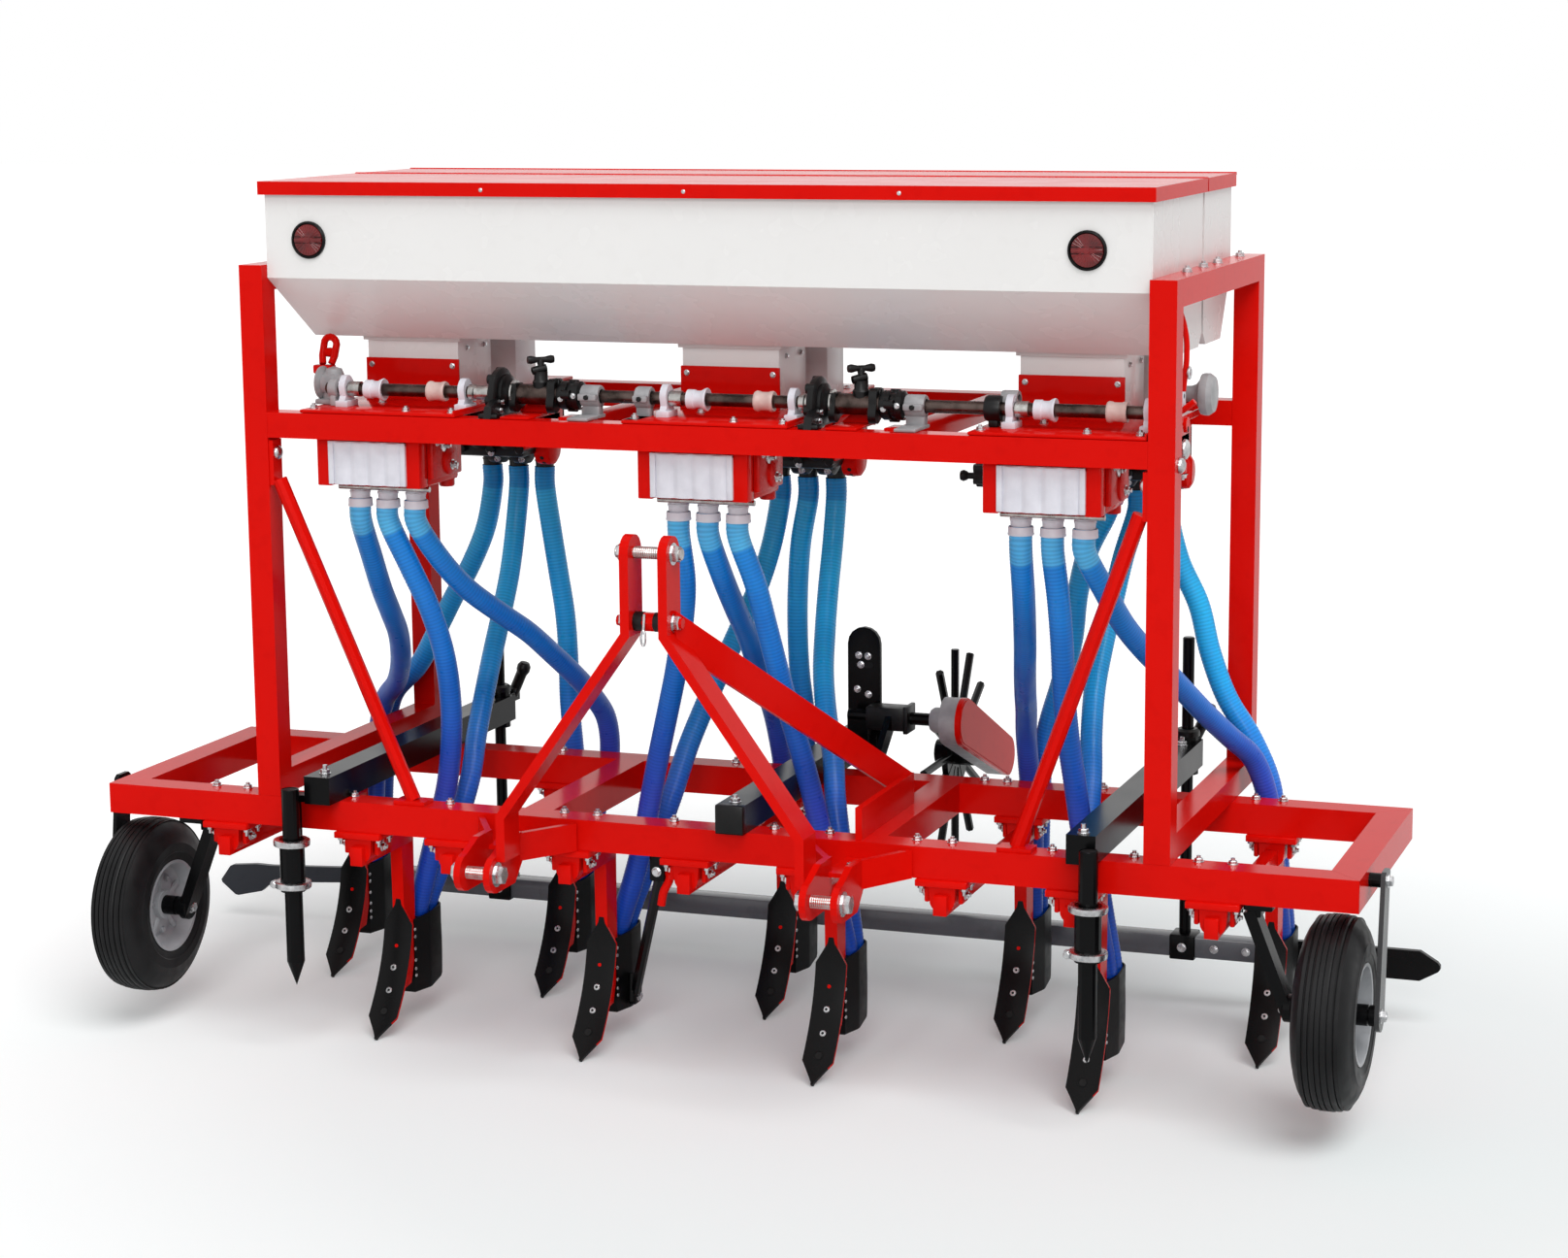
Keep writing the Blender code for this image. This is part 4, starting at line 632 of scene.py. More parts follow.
def bearing(shape, x):
    """A clip on a foot that holds the feed shaft, with a rounded top."""
    z = SHAFT_Z
    outline = [(100, DECK_TOP), (100, DECK + 16), (94, z - 12)]
    outline += arc(SHAFT_Y, z + 4, 19, (0, 0.5, 1))
    outline += [(SHAFT_Y + 4, z + 24), (SHAFT_Y - 4, z + 24)]
    outline += arc(SHAFT_Y, z + 4, 19, (2.14, 2.64, 3.14))
    outline += [(66, z - 12), (60, DECK + 16), (60, DECK_TOP)]
    shape.prism(outline, "X", x - 6, x + 6)
    shape.box((x - 12, 58, DECK + 5), (x + 12, 102, DECK + 17), 2)


def front_unit(number, c):
    word = f"front_meter_{number}"
    low, top = BOX_BOTTOM, 649.5
    body = Shape(f"{word}_body", "frame", "red_paint", RED, c)
    body.box((-120, 4, DECK), (180, 400, DECK_TOP), 2)
    body.box((176.5, 4, DECK + 4), (179.8, 400, DECK + 12), 1)
    body.box((-100, 50, low), (100, 185, DECK), 6)
    body.box((-100, 26, low), (-73, 60, top), 2)
    body.box((73, 26, low), (100, 60, top), 2)
    body.box((-75, 30, low + 2), (75, 60, top), 1)
    body.use(RED_CAST).box((98, 64, low + 12), (108, 182, 648), 4)
    body.turned([(0, 0), (26, 0), (26, 12), (20, 16), (0, 16)], (100, 130, 605), RIGHT, 24)
    body.rod((85, 165, low + 4), (85, 165, low - 12), 14, 16, 2)
    body.done(word)

    chute = neck(word, c, 215, 354, 209, 358)
    chute.use(RED).box((-92, 210.5, DECK + 4), (92, 215.5, DECK + 80), 1.2)
    chute.box((-92, 205, DECK + 5), (92, 215.5, DECK + 10), 1.2)
    chute.use(ZINC).bolts([(x, 210.8, DECK + 68) for x in (-80, 80)], FORWARD, 4.2)
    chute.bolts([(90.5, y, TANK_FLOOR - 22) for y in (250, 325)], RIGHT, 4).done()

    outlet = Shape(f"{word}_outlet", "frame", "white_paint", WHITE_PLASTIC, c)
    low, top, edge, columns = BOX_BOTTOM + 4, 645.7, 66, 4
    outline = [(edge, 32), (-edge, 32)]
    for i in range(columns):
        for share in (k / 6 for k in range(7)):
            x = 2 * edge * (i + 0.03 + 0.94 * share) / columns - edge
            outline.append((x, 23 - 4.5 * sin(pi * share) ** 0.5))
    outlet.prism(outline, "Z", low, top - 2)
    outlet.box((-75, 19.5, low), (-65, 32, top), 1)
    outlet.box((65, 19.5, low), (75, 32, top), 1)
    outlet.box((-75, 21, top - 6), (75, 32, top), 1)
    spouts(outlet, 0, FRONT_SPOUT_Y)
    collar = [(20.3, 0), (20.6, -15.2), (21.6, -14.8), (22.2, -12.5), (21.4, -10.5)]
    for x in (-SPOUT_PITCH, 0, SPOUT_PITCH):
        outlet.turned([*collar, (21.4, -2), (20.6, 0)], (x, FRONT_SPOUT_Y, SPOUT_BOTTOM), UP, 28)
    outlet.use(STEEL).rod((-83, 75, BOX_BOTTOM - 7), (95, 75, BOX_BOTTOM - 7), 5, 10)
    outlet.done(smooth=50)

    bearings = Shape(f"{word}_bearings", "frame", "white_paint", WHITE_PLASTIC, c)
    bearing(bearings, -66)
    bearing(bearings, 166)
    places = ((75, 30), (-105, 30), (165, 25), (-30, 150), (160, 170))
    bearings.use(ZINC).bolts([(x, y, DECK_TOP) for x, y in places], UP, 6.5, 3)
    bearings.turned([(10.5, 0), (10.5, 2), (0, 3)], (108, 105, 633), (1, 0, 0.1), 18)
    bearings.bolts([(108, 118, 632), (108, 142, 590)], RIGHT, 6, 4)
    bearings.bolt((116, 125, 598), RIGHT, 7.5, 4)
    bearings.bolt((108, 80, 640), RIGHT, 4, 4).done()


def rear_unit(number, c, shift):
    word, y, z = f"rear_meter_{number}", 535, 578
    unit = Shape(f"{word}_body", "frame", "black_paint", BLACK_CAST, c)
    unit.box((-100, 460, BOX_BOTTOM + 12), (100, 620, DECK - 45), 12)
    unit.box((-85, 450, BOX_BOTTOM + 4), (95, 625, BOX_BOTTOM + 30), 8)
    boss = [(0, 0), (24, 0), (24, 20), (16, 26), (14, 44), (0, 46)]
    for x in (-55, 5, 65):
        unit.turned(boss, (x, 465, 608), FORWARD, 22)
        unit.rod((x + 24, 440, 585), (x + 24, 470, 585), 9, 14, 2)
    drum = [(0, 0), (22, 0), (29.5, 4), (30.5, 10), (30.5, 26), (29.5, 32), (22, 37)]
    for x in (-13.5, 36.5):
        unit.use(BLACK_CAST).turned([*drum, (0, 37)], (x, y, z), RIGHT, 26)
        unit.use(GREY_CAST).rod((x + 37, y, z), (x + 43, y, z), 12, 18)
        unit.use(ZINC).bolt((x + 10, 505, 572), (0, -1, -0.15), 7.2, 5)
        unit.bolt((x + 28, 506.5, 559), (0, -1, -0.5), 5.2, 3)
    unit.use(RED).turned([*drum, (0, 37)], (86.5, y, z), RIGHT, 26)
    # Three dark domes on the red drum, in painted shadow.
    unit.use(SHADOW_BLACK)
    for turn in (-2.6, -2.1, -1.6):
        out = Vector((0, cos(turn), sin(turn)))
        unit.dome(Vector((105, y, z)) + out * 30, out, 4.2, 1.2)
    unit.use(BLACK_CAST).box((-100, 448, 625), (-20, 470, 692), 6)
    spouts(unit, shift, REAR_SPOUT_Y)
    if number == 3:
        reaches = [(a, 4.2 * cos(5 * a)) for a in around(40)]
        lobes = [(530 + (21.5 + r) * cos(a), 562 + (22.5 + r) * sin(a)) for a, r in reaches]
        unit.prism(lobes, "X", -272, -248)
        grip = [(0, 0), (8.5, 1), (10.5, 6), (8.5, 12), (6, 15), (6, 60)]
        unit.turned(grip, (-302, 530, 557), RIGHT, 18)
        unit.rod((-252, 530, 574.5), (-80, 530, 574.5), 9.5, 18)
        unit.use(ZINC).bolt((-271.7, 540, 570), (-1, 0, 0), 4.2)
    unit.use(RED).box((-100, 415, DECK), (100, 676, DECK_TOP), 2)
    unit.box((35, 445, 600), (100, 449, DECK - 2), 1)
    unit.box((95, 445, BOX_BOTTOM + 20), (100, 630, DECK - 2), 1)
    unit.box((-100, 620, BOX_BOTTOM + 20), (100, 630, DECK - 46), 2)
    places = ((-72, 665), (-30, 637), (52, 672), (86, 660), (30, 578))
    unit.use(ZINC).bolts([(x, 446, z) for x, z in places], FORWARD, 5.5, 3)
    unit.bolts([(x, 630.2, 600) for x in (-70, 70)], BACK, 5.5)
    unit.bolts([(x, 600, DECK_TOP) for x in (-70, 70)], UP, 6.5)
    unit.done(word)
    chute = neck(word, c, 435, 525, 429, 528.5).use(ZINC)
    chute.bolt((90.5, 455, TANK_FLOOR - 22), RIGHT, 4)
    chute.bolts([(x, 525.5, TANK_FLOOR - 50) for x in (-70, 70)], BACK, 4.2).done()


def sleeve(inner, outer, start, end):
    """The profile of a plain ring round a shaft."""
    return [(inner, start), (outer, start), (outer, end), (inner, end)]


def feed_shaft():
    at = (0, SHAFT_Y, SHAFT_Z)
    shaft = Shape("feed_shaft_rod", "feed_shaft", "dark_steel", DARK_STEEL)
    ends = [(0, -715), (10, -715), (11, -713), (11, 798.5), (10, 799.8), (0, 799.8)]
    shaft.turned(ends, at, RIGHT, 20).use(STEEL)
    for c in UNIT_X:
        shaft.turned(sleeve(11, 13.5, c - 58, c - 36), at, RIGHT, 20)
    nut = [(11, 176), (14.5, 177), (14.5, 186), (12.5, 188), (12.5, 214), (11, 214)]
    for c in UNIT_X[:2]:
        shaft.turned(nut, (c, SHAFT_Y, SHAFT_Z), RIGHT, 20)
    shaft.done("feed_shaft")
    white = [(11.2, -24), (14.5, -26), (16.6, -26), (16.8, -14), (15, -12)]
    white += [(15, -2), (18.5, 4), (20, 8), (19, 10), (11.2, 8)]
    pink = [(11.2, 97.5), (16.5, 96.5), (18, 99.5), (17.2, 104.5), (16, 106.5)]
    pink += [(16, 120.5), (17.2, 122.5), (18, 127.5), (16.5, 130.5), (11.2, 129.5)]
    for i, c in enumerate(UNIT_X):
        for word, profile, finish in (("left", white, WHITE_PLASTIC), ("right", pink, PINK_PLASTIC)):
            part = Shape(f"feed_sleeve_{i + 1}_{word}", "feed_shaft", "white_paint", finish, c)
            part.turned(profile, at, RIGHT, 24).done()


def unit_bearers():
    """The two square tubes that run back between the units, from the front rail to the rear one."""
    part = Shape("unit_bearers", "frame", "red_paint", RED)
    top = MID_RAIL_TOP
    for left, right in ((-246, -211), (343, 377)):
        part.use(RED).box((left, POST + 0.2, top - 36), (right, 636, top - 0.4), 2)
        part.box((left - 6, POST - 4, top - 0.6), (right + 6, POST + 50, top + 3), 1)
        part.use(ZINC).bolt(((left + right) / 2, 130, top), UP, 5.5, 2)
    part.done()


def end_knob():
    """The bell-shaped knob that stands on a stub at the right end of the third deck."""
    y, z = 360, 735
    knob = Shape("end_knob", "frame", "grey_paint", GREY_CAST)
    profile = [(0, 758.5), (10, 758.5), (10, 772.5), (13.5, 773.5), (14, 784), (17, 792)]
    profile += [(26, 799), (34.5, 802), (36, 808), (36, 815), (30, 823.5)]
    knob.turned([*profile, (12, 826.5), (0, 826)], (0, y, z), RIGHT, 32)
    for at in arc(y, z, 29, around(5, 0.3)):
        knob.turned([(0, 0), (6.8, 0), (6.8, 7), (5, 9), (0, 9)], (805.5, *at), RIGHT, 14)
    knob.use(WHITE_PLASTIC).box((741, y - 20, DECK + 5.8), (759, y + 20, z + 22), 4)
    knob.use(ZINC).bolt((758.5, y - 12, z - 22), RIGHT, 4.5).done()


def clutch(number, c):
    """A cast dog clutch: toothed flange, pipe, collar with lugs, and the boss for its clamp knob."""
    y, z = SHAFT_Y, SHAFT_Z
    at = (0, y, z)
    part = Shape(f"clutch_{number}_casting", "frame", "black_paint", BLACK_CAST, c)
    profile = [(12.5, -88), (30, -88), (34, -84), (43, -83), (45, -80), (45, -72)]
    profile += [(40, -68), (34, -67), (34, -62), (26, -58), (20, -52)]
    part.turned([*profile, (12.5, -52)], at, RIGHT, 32)
    for spot in arc(y, z, 37, around(6, 0.25)):
        part.turned([(0, 0), (9, 0), (9, 14), (6, 18), (0, 18)], (-88, *spot), RIGHT, 14)
    profile = [(12.5, 36), (21, 36), (25, 42), (25, 54), (21, 56), (21, 64)]
    part.turned([*profile, (25, 66), (25, 76), (18, 80), (12.5, 80)], at, RIGHT, 28)
    for spot in arc(y, z, 23, around(3, 0.9)):
        part.turned([(0, 0), (8, 0), (8, 16), (0, 18)], (48, *spot), RIGHT, 12)
    foot = [(4, DECK), (112, DECK), (116, DECK + 12), (105, z), (55, z), (10, DECK + 20)]
    part.prism(foot, "X", -77, -63)
    part.box((-88, 6, DECK), (-52, 30, DECK + 8), 2)
    part.box((16, y - 4, z + 10), (36, y + 18, z + 28), 5)
    part.turned([(14, 10), (15, 22), (12, 27), (12, 40), (0, 40)], at, UP, 18)
    reaches = [(turn, 27 + 5.5 * cos(3 * turn + 0.6)) for turn in around(36)]
    cam = [(y + r * cos(turn), max(DECK + 1, z - 3 + r * sin(turn))) for turn, r in reaches]
    part.prism(cam, "X", 19, 33)
    part.prism([(a + 2, min(b, z + 19)) for a, b in cam], "X", -51, -40)
    part.use(DARK_STEEL).turned(sleeve(12.5, 17.8, -54, 38), at, RIGHT, 28)
    ring = [(17.8, -53), (24.5, -51), (24.5, -48), (17.8, -47)]
    part.use(STEEL).turned(ring, at, RIGHT, 28)
    part.use(ZINC).bolts([(-62.5, *p) for p in ((45, 706), (100, 708), (52, 720))], RIGHT, 4.5)
    part.bolt((78, y - 6, z - 18), (1, -0.4, 0), 4.5)
    part.bolts([(46, y - 23.5, z - 4), (70, y - 24, z + 2)], FORWARD, 4)
    shift = -60 if c < 0 else -52
    low = DECK + 0.5
    plate = [(7, low), (70, low), (66, 708), (59, 719), (50, 722.5), (40, 721.5), (26, 712)]
    part.use(RED).prism([(shift + a, b) for a, b in plate], "Y", 98.5, 102.5)
    part.box((shift + 12, 10, DECK), (shift + 66, 102.5, DECK + 4), 1)
    part.done(f"clutch_{number}")

    knob = Shape(f"clamp_knob_{number}_tee", f"clamp_knob_{number}", "black_paint", BLACK_CAST, c)
    base, along = z + 40.3, (cos(0.7), sin(0.7), 0)
    stem = [(0, 0), (6.8, 0), (6.8, 6), (5.5, 9), (6.8, 16), (5, 22), (0, 23)]
    knob.turned(stem, (0, y, base), UP, 16)
    bar = mirrored([(0, -24.5), (6.2, -23.5), (7.4, -18), (5, -7)])
    knob.turned(bar, (0, y, base + 20.3), along, 16)
    boss = [(0, -18), (6.8, -16), (7.5, 0), (6.8, 10), (0, 12)]
    knob.turned(boss, (0, y, base + 4), (*along[:2], 0.2), 14)
    knob.done(f"clamp_knob_{number}")


def shaft_ends():
    """The housing and shackle at the shaft's left end, the straps at its right end and the loose clamps."""
    left = Shape("shaft_housing_left", "frame", "grey_paint", GREY_CAST)
    bell = [(0, -0.5), (22, 0), (29, 2), (30, 6), (24, 10), (18, 14), (0, 14)]
    left.turned(bell, (-745, 110, 738), RIGHT, 26)
    barrel = [(0, 0), (18.5, 0), (19.5, 4), (19.5, 22), (16.5, 26), (16, 44), (12, 44)]
    left.turned(barrel, (-733, 104, 738), RIGHT, 24)
    stump = [(0, 0), (19.5, 0), (21, 6), (19.5, 44), (14, 58), (0, 62)]
    left.turned(stump, (-718, 112, 705.5), UP, 24)
    left.box((-745, 86, DECK_TOP), (-690, 140, 711), 3)
    ring = [(11.3, 0), (15, 0), (16.5, 4), (16.5, 16), (11.3, 18)]
    left.turned(ring, (-708.5, SHAFT_Y, SHAFT_Z), RIGHT, 22)
    left.box((-706, SHAFT_Y - 12, DECK_TOP), (-694, SHAFT_Y + 30, 722), 3)
    left.use(ZINC).bolt((-698, 92, 710.8), UP, 6.2, 5)
    left.bolt((-736, 130, 710.8), UP, 5.5, 4)
    shackle = [(-760, 150, 768), (-763.5, 156, 782)]
    shackle += [(a, 164, b) for a, b in arc(-751, 802, 12.5, spread(pi, 0, 8))]
    left.use(RED).sweep([*shackle, (-739, 156, 782), (-742, 148, 768)], 6.6, 12)
    pin = [(0, -14.5), (7.5, -13), (8.8, 0), (7.5, 13), (0, 14.5)]
    left.turned(pin, (-751, 162, 787), RIGHT, 14)
    left.box((-776, 140, 750), (-738, 160, 766), 3)
    left.box((-766, 130, 742), (-738, 150, 756), 3).done()

    right = Shape("shaft_strap_right", "frame", "red_paint", RED)
    right.box((791.5, 110, 620), (818, 135, 695), 2)
    right.box((812, 110, 690), (818, 135, 740), 2)
    strap = [(793.5, 150, 892), (815, 128, 892), (827, 122, 856), (829, 120, 820)]
    right.sweep(curve_points([*strap, (827, 120, 795), (824, 120, 765)], 6), 4.8, 10)
    right.sweep([(817, 120, 730), (830, 118, 738), (844, 118, 749)], 5.5, 10)
    right.rod((827, 120, 710), (833, 120, 710), 13, 20)
    right.box((817.5, 112, 629), (830, 130, 649), 3)
    # A dark dome of painted shadow on the disc's face.
    right.use(SHADOW_BLACK).dome((833, 120, 703), RIGHT, 5, 0.6)
    right.use(WHITE_PLASTIC).box((808, 108, 738), (826, 134, 766), 4)
    # A dark dome of painted shadow on the white block.
    right.use(SHADOW_BLACK).dome((825.8, 120, 757), RIGHT, 4, 0.8)
    right.use(ZINC).sweep([(834, *p) for p in arc(120, 795, 8.5, spread(0, 2 * pi, 16))], 2.6, 8)
    right.rod((817, 120, 670), (827, 120, 670), 12.5, 20, 1)
    right.dome((826.8, 120, 670), RIGHT, 17, 10)
    right.bolt((824, 120, 629.5), DOWN, 7.5, 3).done()

    clamps = Shape("shaft_clamps", "frame", "grey_paint", GREY_CAST)
    y, z = SHAFT_Y, SHAFT_Z
    for x, half in ((-204.5, 17.5), (-106.5, 13.5), (382, 17)):
        collar = [(12.5, -half), (18, -half), (19.5, 3 - half), (19.5, half - 3), (18, half)]
        clamps.use(GREY_CAST).turned([*collar, (12.5, half)], (x, y, z), RIGHT, 24)
        clamps.box((x - half, y - 10, DECK), (x + half, y + 10, z - 12), 4)
        clamps.box((x - half - 2, 12, DECK), (x + half + 2, y + 14, DECK_TOP), 2)
        clamps.box((x - half, y - 26.5, z - 6), (x + half, y - 14, z + 6), 3)
        clamps.use(BLACK_CAST).bolt((x, y - 26.5, z), FORWARD, 4.8, washer=False)
    grey = mirrored([(12.5, -14), (18, -14), (19, -10)])
    clamps.use(GREY_CAST).turned(grey, (539, y + 20, z + 10), RIGHT, 24)
    clamps.box((526, 84, DECK + 5.8), (552, 112, z + 12), 4)
    black = mirrored([(12.5, -13.5), (20.5, -13.5), (22, -9)])
    clamps.use(BLACK_CAST).turned(black, (516.5, y, z), RIGHT, 24)
    clamps.box((508, y - 10, DECK + 5.8), (525, y + 12, z - 14), 3).done()


for index, c in enumerate(UNIT_X):
    front_unit(index + 1, c)
    rear_unit(index + 1, c + GROUP_SHIFT_REAR, REAR_SPOUT_SHIFTS[index])
feed_shaft()
unit_bearers()
end_knob()
clutch(1, -300)
clutch(2, 285)
shaft_ends()


# Tines


def shovel_place(point, share):
    """The blade's front surface, as (y, z), at a share of its height."""
    return point - 20 + 108 * (1 - (1 - share) ** 2.2), SHOVEL_TIP + SHOVEL_HEIGHT * share


def shovel_half(share):
    """Half the blade's width: a short point below, a long one with a blunt end above."""
    return SHOVEL_HALF * min(1.0, max(0.1, share / 0.14), max(0.18, (1.0 - share) / 0.2))


def shovel(point):
    """A curved, slightly crowned blade with red edges, its bolts with centres of painted shadow, its hole
    as a disc of painted shadow, and paint dot.
    """
    part = Shape("shovel", "frame", "black_paint", BLADE)

    def frontal(share, lift=0):
        """A place on the blade's front, and the way it faces."""
        y2, z2 = shovel_place(point, min(1.0, share + 0.01))
        y1, z1 = shovel_place(point, max(0.0, share - 0.01))
        slope = Vector((0, y2 - y1, z2 - z1)).normalized()
        front = Vector((0, -slope.z, slope.y))
        return Vector((0, *shovel_place(point, share))) + front * lift, front

    across = 6
    shares = [0.0, 0.012, *spread(0.035, 0.14, 3), *spread(0.184, 0.8, 14), *spread(0.838, 0.99, 4), 1.0]
    rows, verts = ([], []), []
    for share in shares:
        base, front = frontal(share)
        half = shovel_half(share) * (0.85 if share in (0.0, 1.0) else 1.0)
        for face, lift, crown in ((0, -0.2, 1.8), (1, -6.6, 0)):
            rows[face].append(range(len(verts), len(verts) + across + 1))
            for k in range(across + 1):
                x = half * (2 * k / across - 1)
                verts.append(base + Vector((x, 0, 0)) + front * (lift - crown * (x / SHOVEL_HALF) ** 2))
    pairs = [pair for face in rows for pair in zip(face, face[1:])]
    pairs += [(rows[0][end], rows[1][end]) for end in (0, -1)]
    faces = [[a[k], a[k + 1], b[k + 1], b[k]] for a, b in pairs for k in range(across)]
    edges = []
    for side in (0, across):
        near, far = ([row[side] for row in face] for face in rows)
        strips = [[*pair, *reversed(other)] for pair, other in zip(zip(near, near[1:]), zip(far, far[1:]))]
        faces += strips[:4]
        edges += strips[4:]
    made = [part.build.verts.new(v) for v in verts]
    part.join(made, faces)
    part.use(RED).join(made, edges)

    stud = [(5.8, -0.4), (5.8, 1), (4.6, 1.9), (2.6, 1.9), (2.2, 0.8)]
    for share in (0.315, 0.475):
        part.use(ZINC).turned(stud, *frontal(share, 0.1), 20)
        # The stud's centre is a dark disc of painted shadow.
        part.use(SHADOW_BLACK).turned([(2.6, 0.6), (0, 0.6)], *frontal(share, 0.1), 16)
    hole, dot = frontal(0.175), frontal(0.635)
    # The hole is a dark disc of painted shadow inside a black ring.
    part.use(SHADOW_BLACK).turned([(7.2, -0.6), (7.2, 0.3), (0, 0.3)], *hole, 6)
    part.use(BLADE).turned([(7.2, -0.6), (8.8, -0.6), (8.4, 0.7), (7.2, 0.8)], *hole, 20)
    return part.use(RED).turned([(3.4, -0.4), (3.4, 0.4), (0, 0.6)], *dot, 16)


def boot(point):
    """A sheet sleeve from the shank's sides round both tubes, with a slanted mouth and a round heel."""
    part = Shape("boot", "frame", "black_paint", WRAP)
    front, nose = point + 124, point + BOOT_MOUTH - HOSE_PAIR / 2
    tail, half, wall = point + BOOT_MOUTH + HOSE_PAIR / 2, 25.3, 2.5
    back = tail + half
    plan = [(-13, front, 0, -1.0), (13, front, 0, -1.0)]
    into, out_of = (-0.28, -0.14, 0), (pi, pi + 0.14, pi + 0.28)
    for centre, angles in ((nose, into), (tail, spread(0, pi, 12)), (nose, out_of)):
        plan += [(half * cos(a), centre + half * sin(a), cos(a), sin(a)) for a in angles]
    count = len(plan)
    verts = []
    for level in range(9):
        for x, y, out_x, out_y in plan:
            top = BOOT_MOUTH_Z + 10 * (y - front) / (back - front)
            reach = max(0, y - (back - 55))
            low = -347 - (55 ** 2 - min(reach, 54) ** 2) ** 0.5
            if level >= 6:
                x, y = x - out_x * wall, max(nose - half + wall, y - out_y * wall)
            z = (low, low + 1.5, -345, -318, -290, top - 1, top, top - 4, -360)[level]
            if level == 0:
                x *= 0.93
            if level in (2, 3):
                x, y = x + out_x * 0.6, y + max(0, out_y) * 0.8
            verts.append((x, y, z))
    groups = [list(range(count)), list(range(8 * count, 9 * count))]
    for start in range(0, 8 * count, count):
        groups += band(start, count)
    part.faces(verts, groups).use(ZINC)
    for sign in SIDES:
        for z in (-282, -296, -319, -341, -357, -370):
            part.dome((sign * 13.3, front + 3, z), (sign, -0.25, 0), 3.4, 1.6)
    return part


def shank(point):
    """The tine's rib with its clamps round the beams, and the curved shank below it."""
    part = Shape("shank", "frame", "red_paint", RED)
    part.box((-12, -12, -RIB_BOTTOM), (12, point + 131, -RIB_TOP))
    outline = [(86, 10 - RIB_BOTTOM), (88.5, -225), (89.5, -250), (80, -300), (64.5, -340)]
    outline += [(45, -376), (60, -386), (110, -380), (128, -330), (132, -290)]
    outline += [(134, 10 - RIB_BOTTOM)]
    part.prism([(point + a, b) for a, b in outline], "X", -11.5, 11.5)
    beams = (0,) if point < FRAME_DEPTH / 2 else (0, FRAME_DEPTH - FRAME_TUBE)
    for beam in beams:
        part.use(RED).box((-45, beam - 8, -67), (45, beam + 57, UNDER_BEAM))
        lug = [(-24, -60), (24, -60), (22, -92)]
        lug += [(22 * cos(a), -92 + 21 * sin(a)) for a in spread(-0.1 * pi, -0.9 * pi, 8)]
        part.prism([*lug, (-22, -92)], "Y", beam + 2, beam + 53)
        part.prism([(beam + 50, -66), (beam + 125, -82), (beam + 50, -112)], "X", -4, 4)
        for sign in SIDES:
            part.use(RED).box((sign * 25.5, beam + 10, -98), (sign * 34, beam + 45, -66), 3)
            places = [(sign * 37.5, beam + y, -67) for y in (6, 46)]
            part.use(ZINC).bolts(places, DOWN, 6.5, 7)
            part.bolt((sign * 33.5, beam + 26, -84), (sign, 0, 0), 7, 4)
    return part


def tines():
    """The nine tines; rows of one rank share their meshes."""
    meshes = {}
    pieces = ("shank", shank, "red_paint"), ("shovel", shovel, "black_paint"), ("boot", boot, "black_paint")
    for i, x in enumerate(ROW_X):
        point, number = tine_point(i), i + 1
        for name, make, slot in pieces:
            if (name, point) not in meshes:
                meshes[name, point] = make(point).mesh()
            replaces = [f"tine_{number}"] if name == "shank" else ()
            show(f"{name}_{number}", meshes[name, point], "frame", slot, replaces).location.x = x * MM


def tine_stay():
    """The black stay from the beam to the middle tine's boot, and its red hook."""
    stay = Shape("tine_stay", "frame", "black_paint", BLACK)
    top = Vector((-72, 30, -98))
    foot = Vector((ROW_X[STAY_ROW - 1] + 26.5, TINE_FRONT_POINT + 165, -380))
    stay.sweep([top, foot.lerp(top, 0.5) + Vector((3, 0, 4)), foot + Vector((4, 0, 0))], 9.5, 8)
    stay.sweep([foot + Vector((3, -10, 45)), foot + Vector((4, -16, -6))], 7, 8)
    stay.box((-86, 16, -104), (-58, 44, UNDER_BEAM), 3)
    stay.box(foot - Vector((3, 14, 14)), foot + Vector((11, 14, 14)), 3)
    stay.use(ZINC).bolt((-72, 16, -86), FORWARD, 7)
    stay.bolt((foot.x + 11, foot.y, foot.z), RIGHT, 7).done()
    hook = Shape("stay_hook", "frame", "red_paint", RED)
    path = [(-58, 30, -82), (-50, 22, -98), (-61, 20, -122), (-66, 20, -146)]
    hook.sweep(curve_points(path, 6), 7.5, 12).done()


tines()
tine_stay()


# Hitch


def thread(radius, length, pitch=3.6):
    """A round bar's profile with shallow grooves."""
    profile = [(0, 0), (radius - 1, 0), (radius, 1)]
    for k in range(int((length - 4) / pitch)):
        at = 2 + k * pitch
        profile += [(radius, at), (radius - 0.6, at + pitch * 0.5)]
    return [*profile, (radius, length - 1), (radius - 1, length), (0, length)]


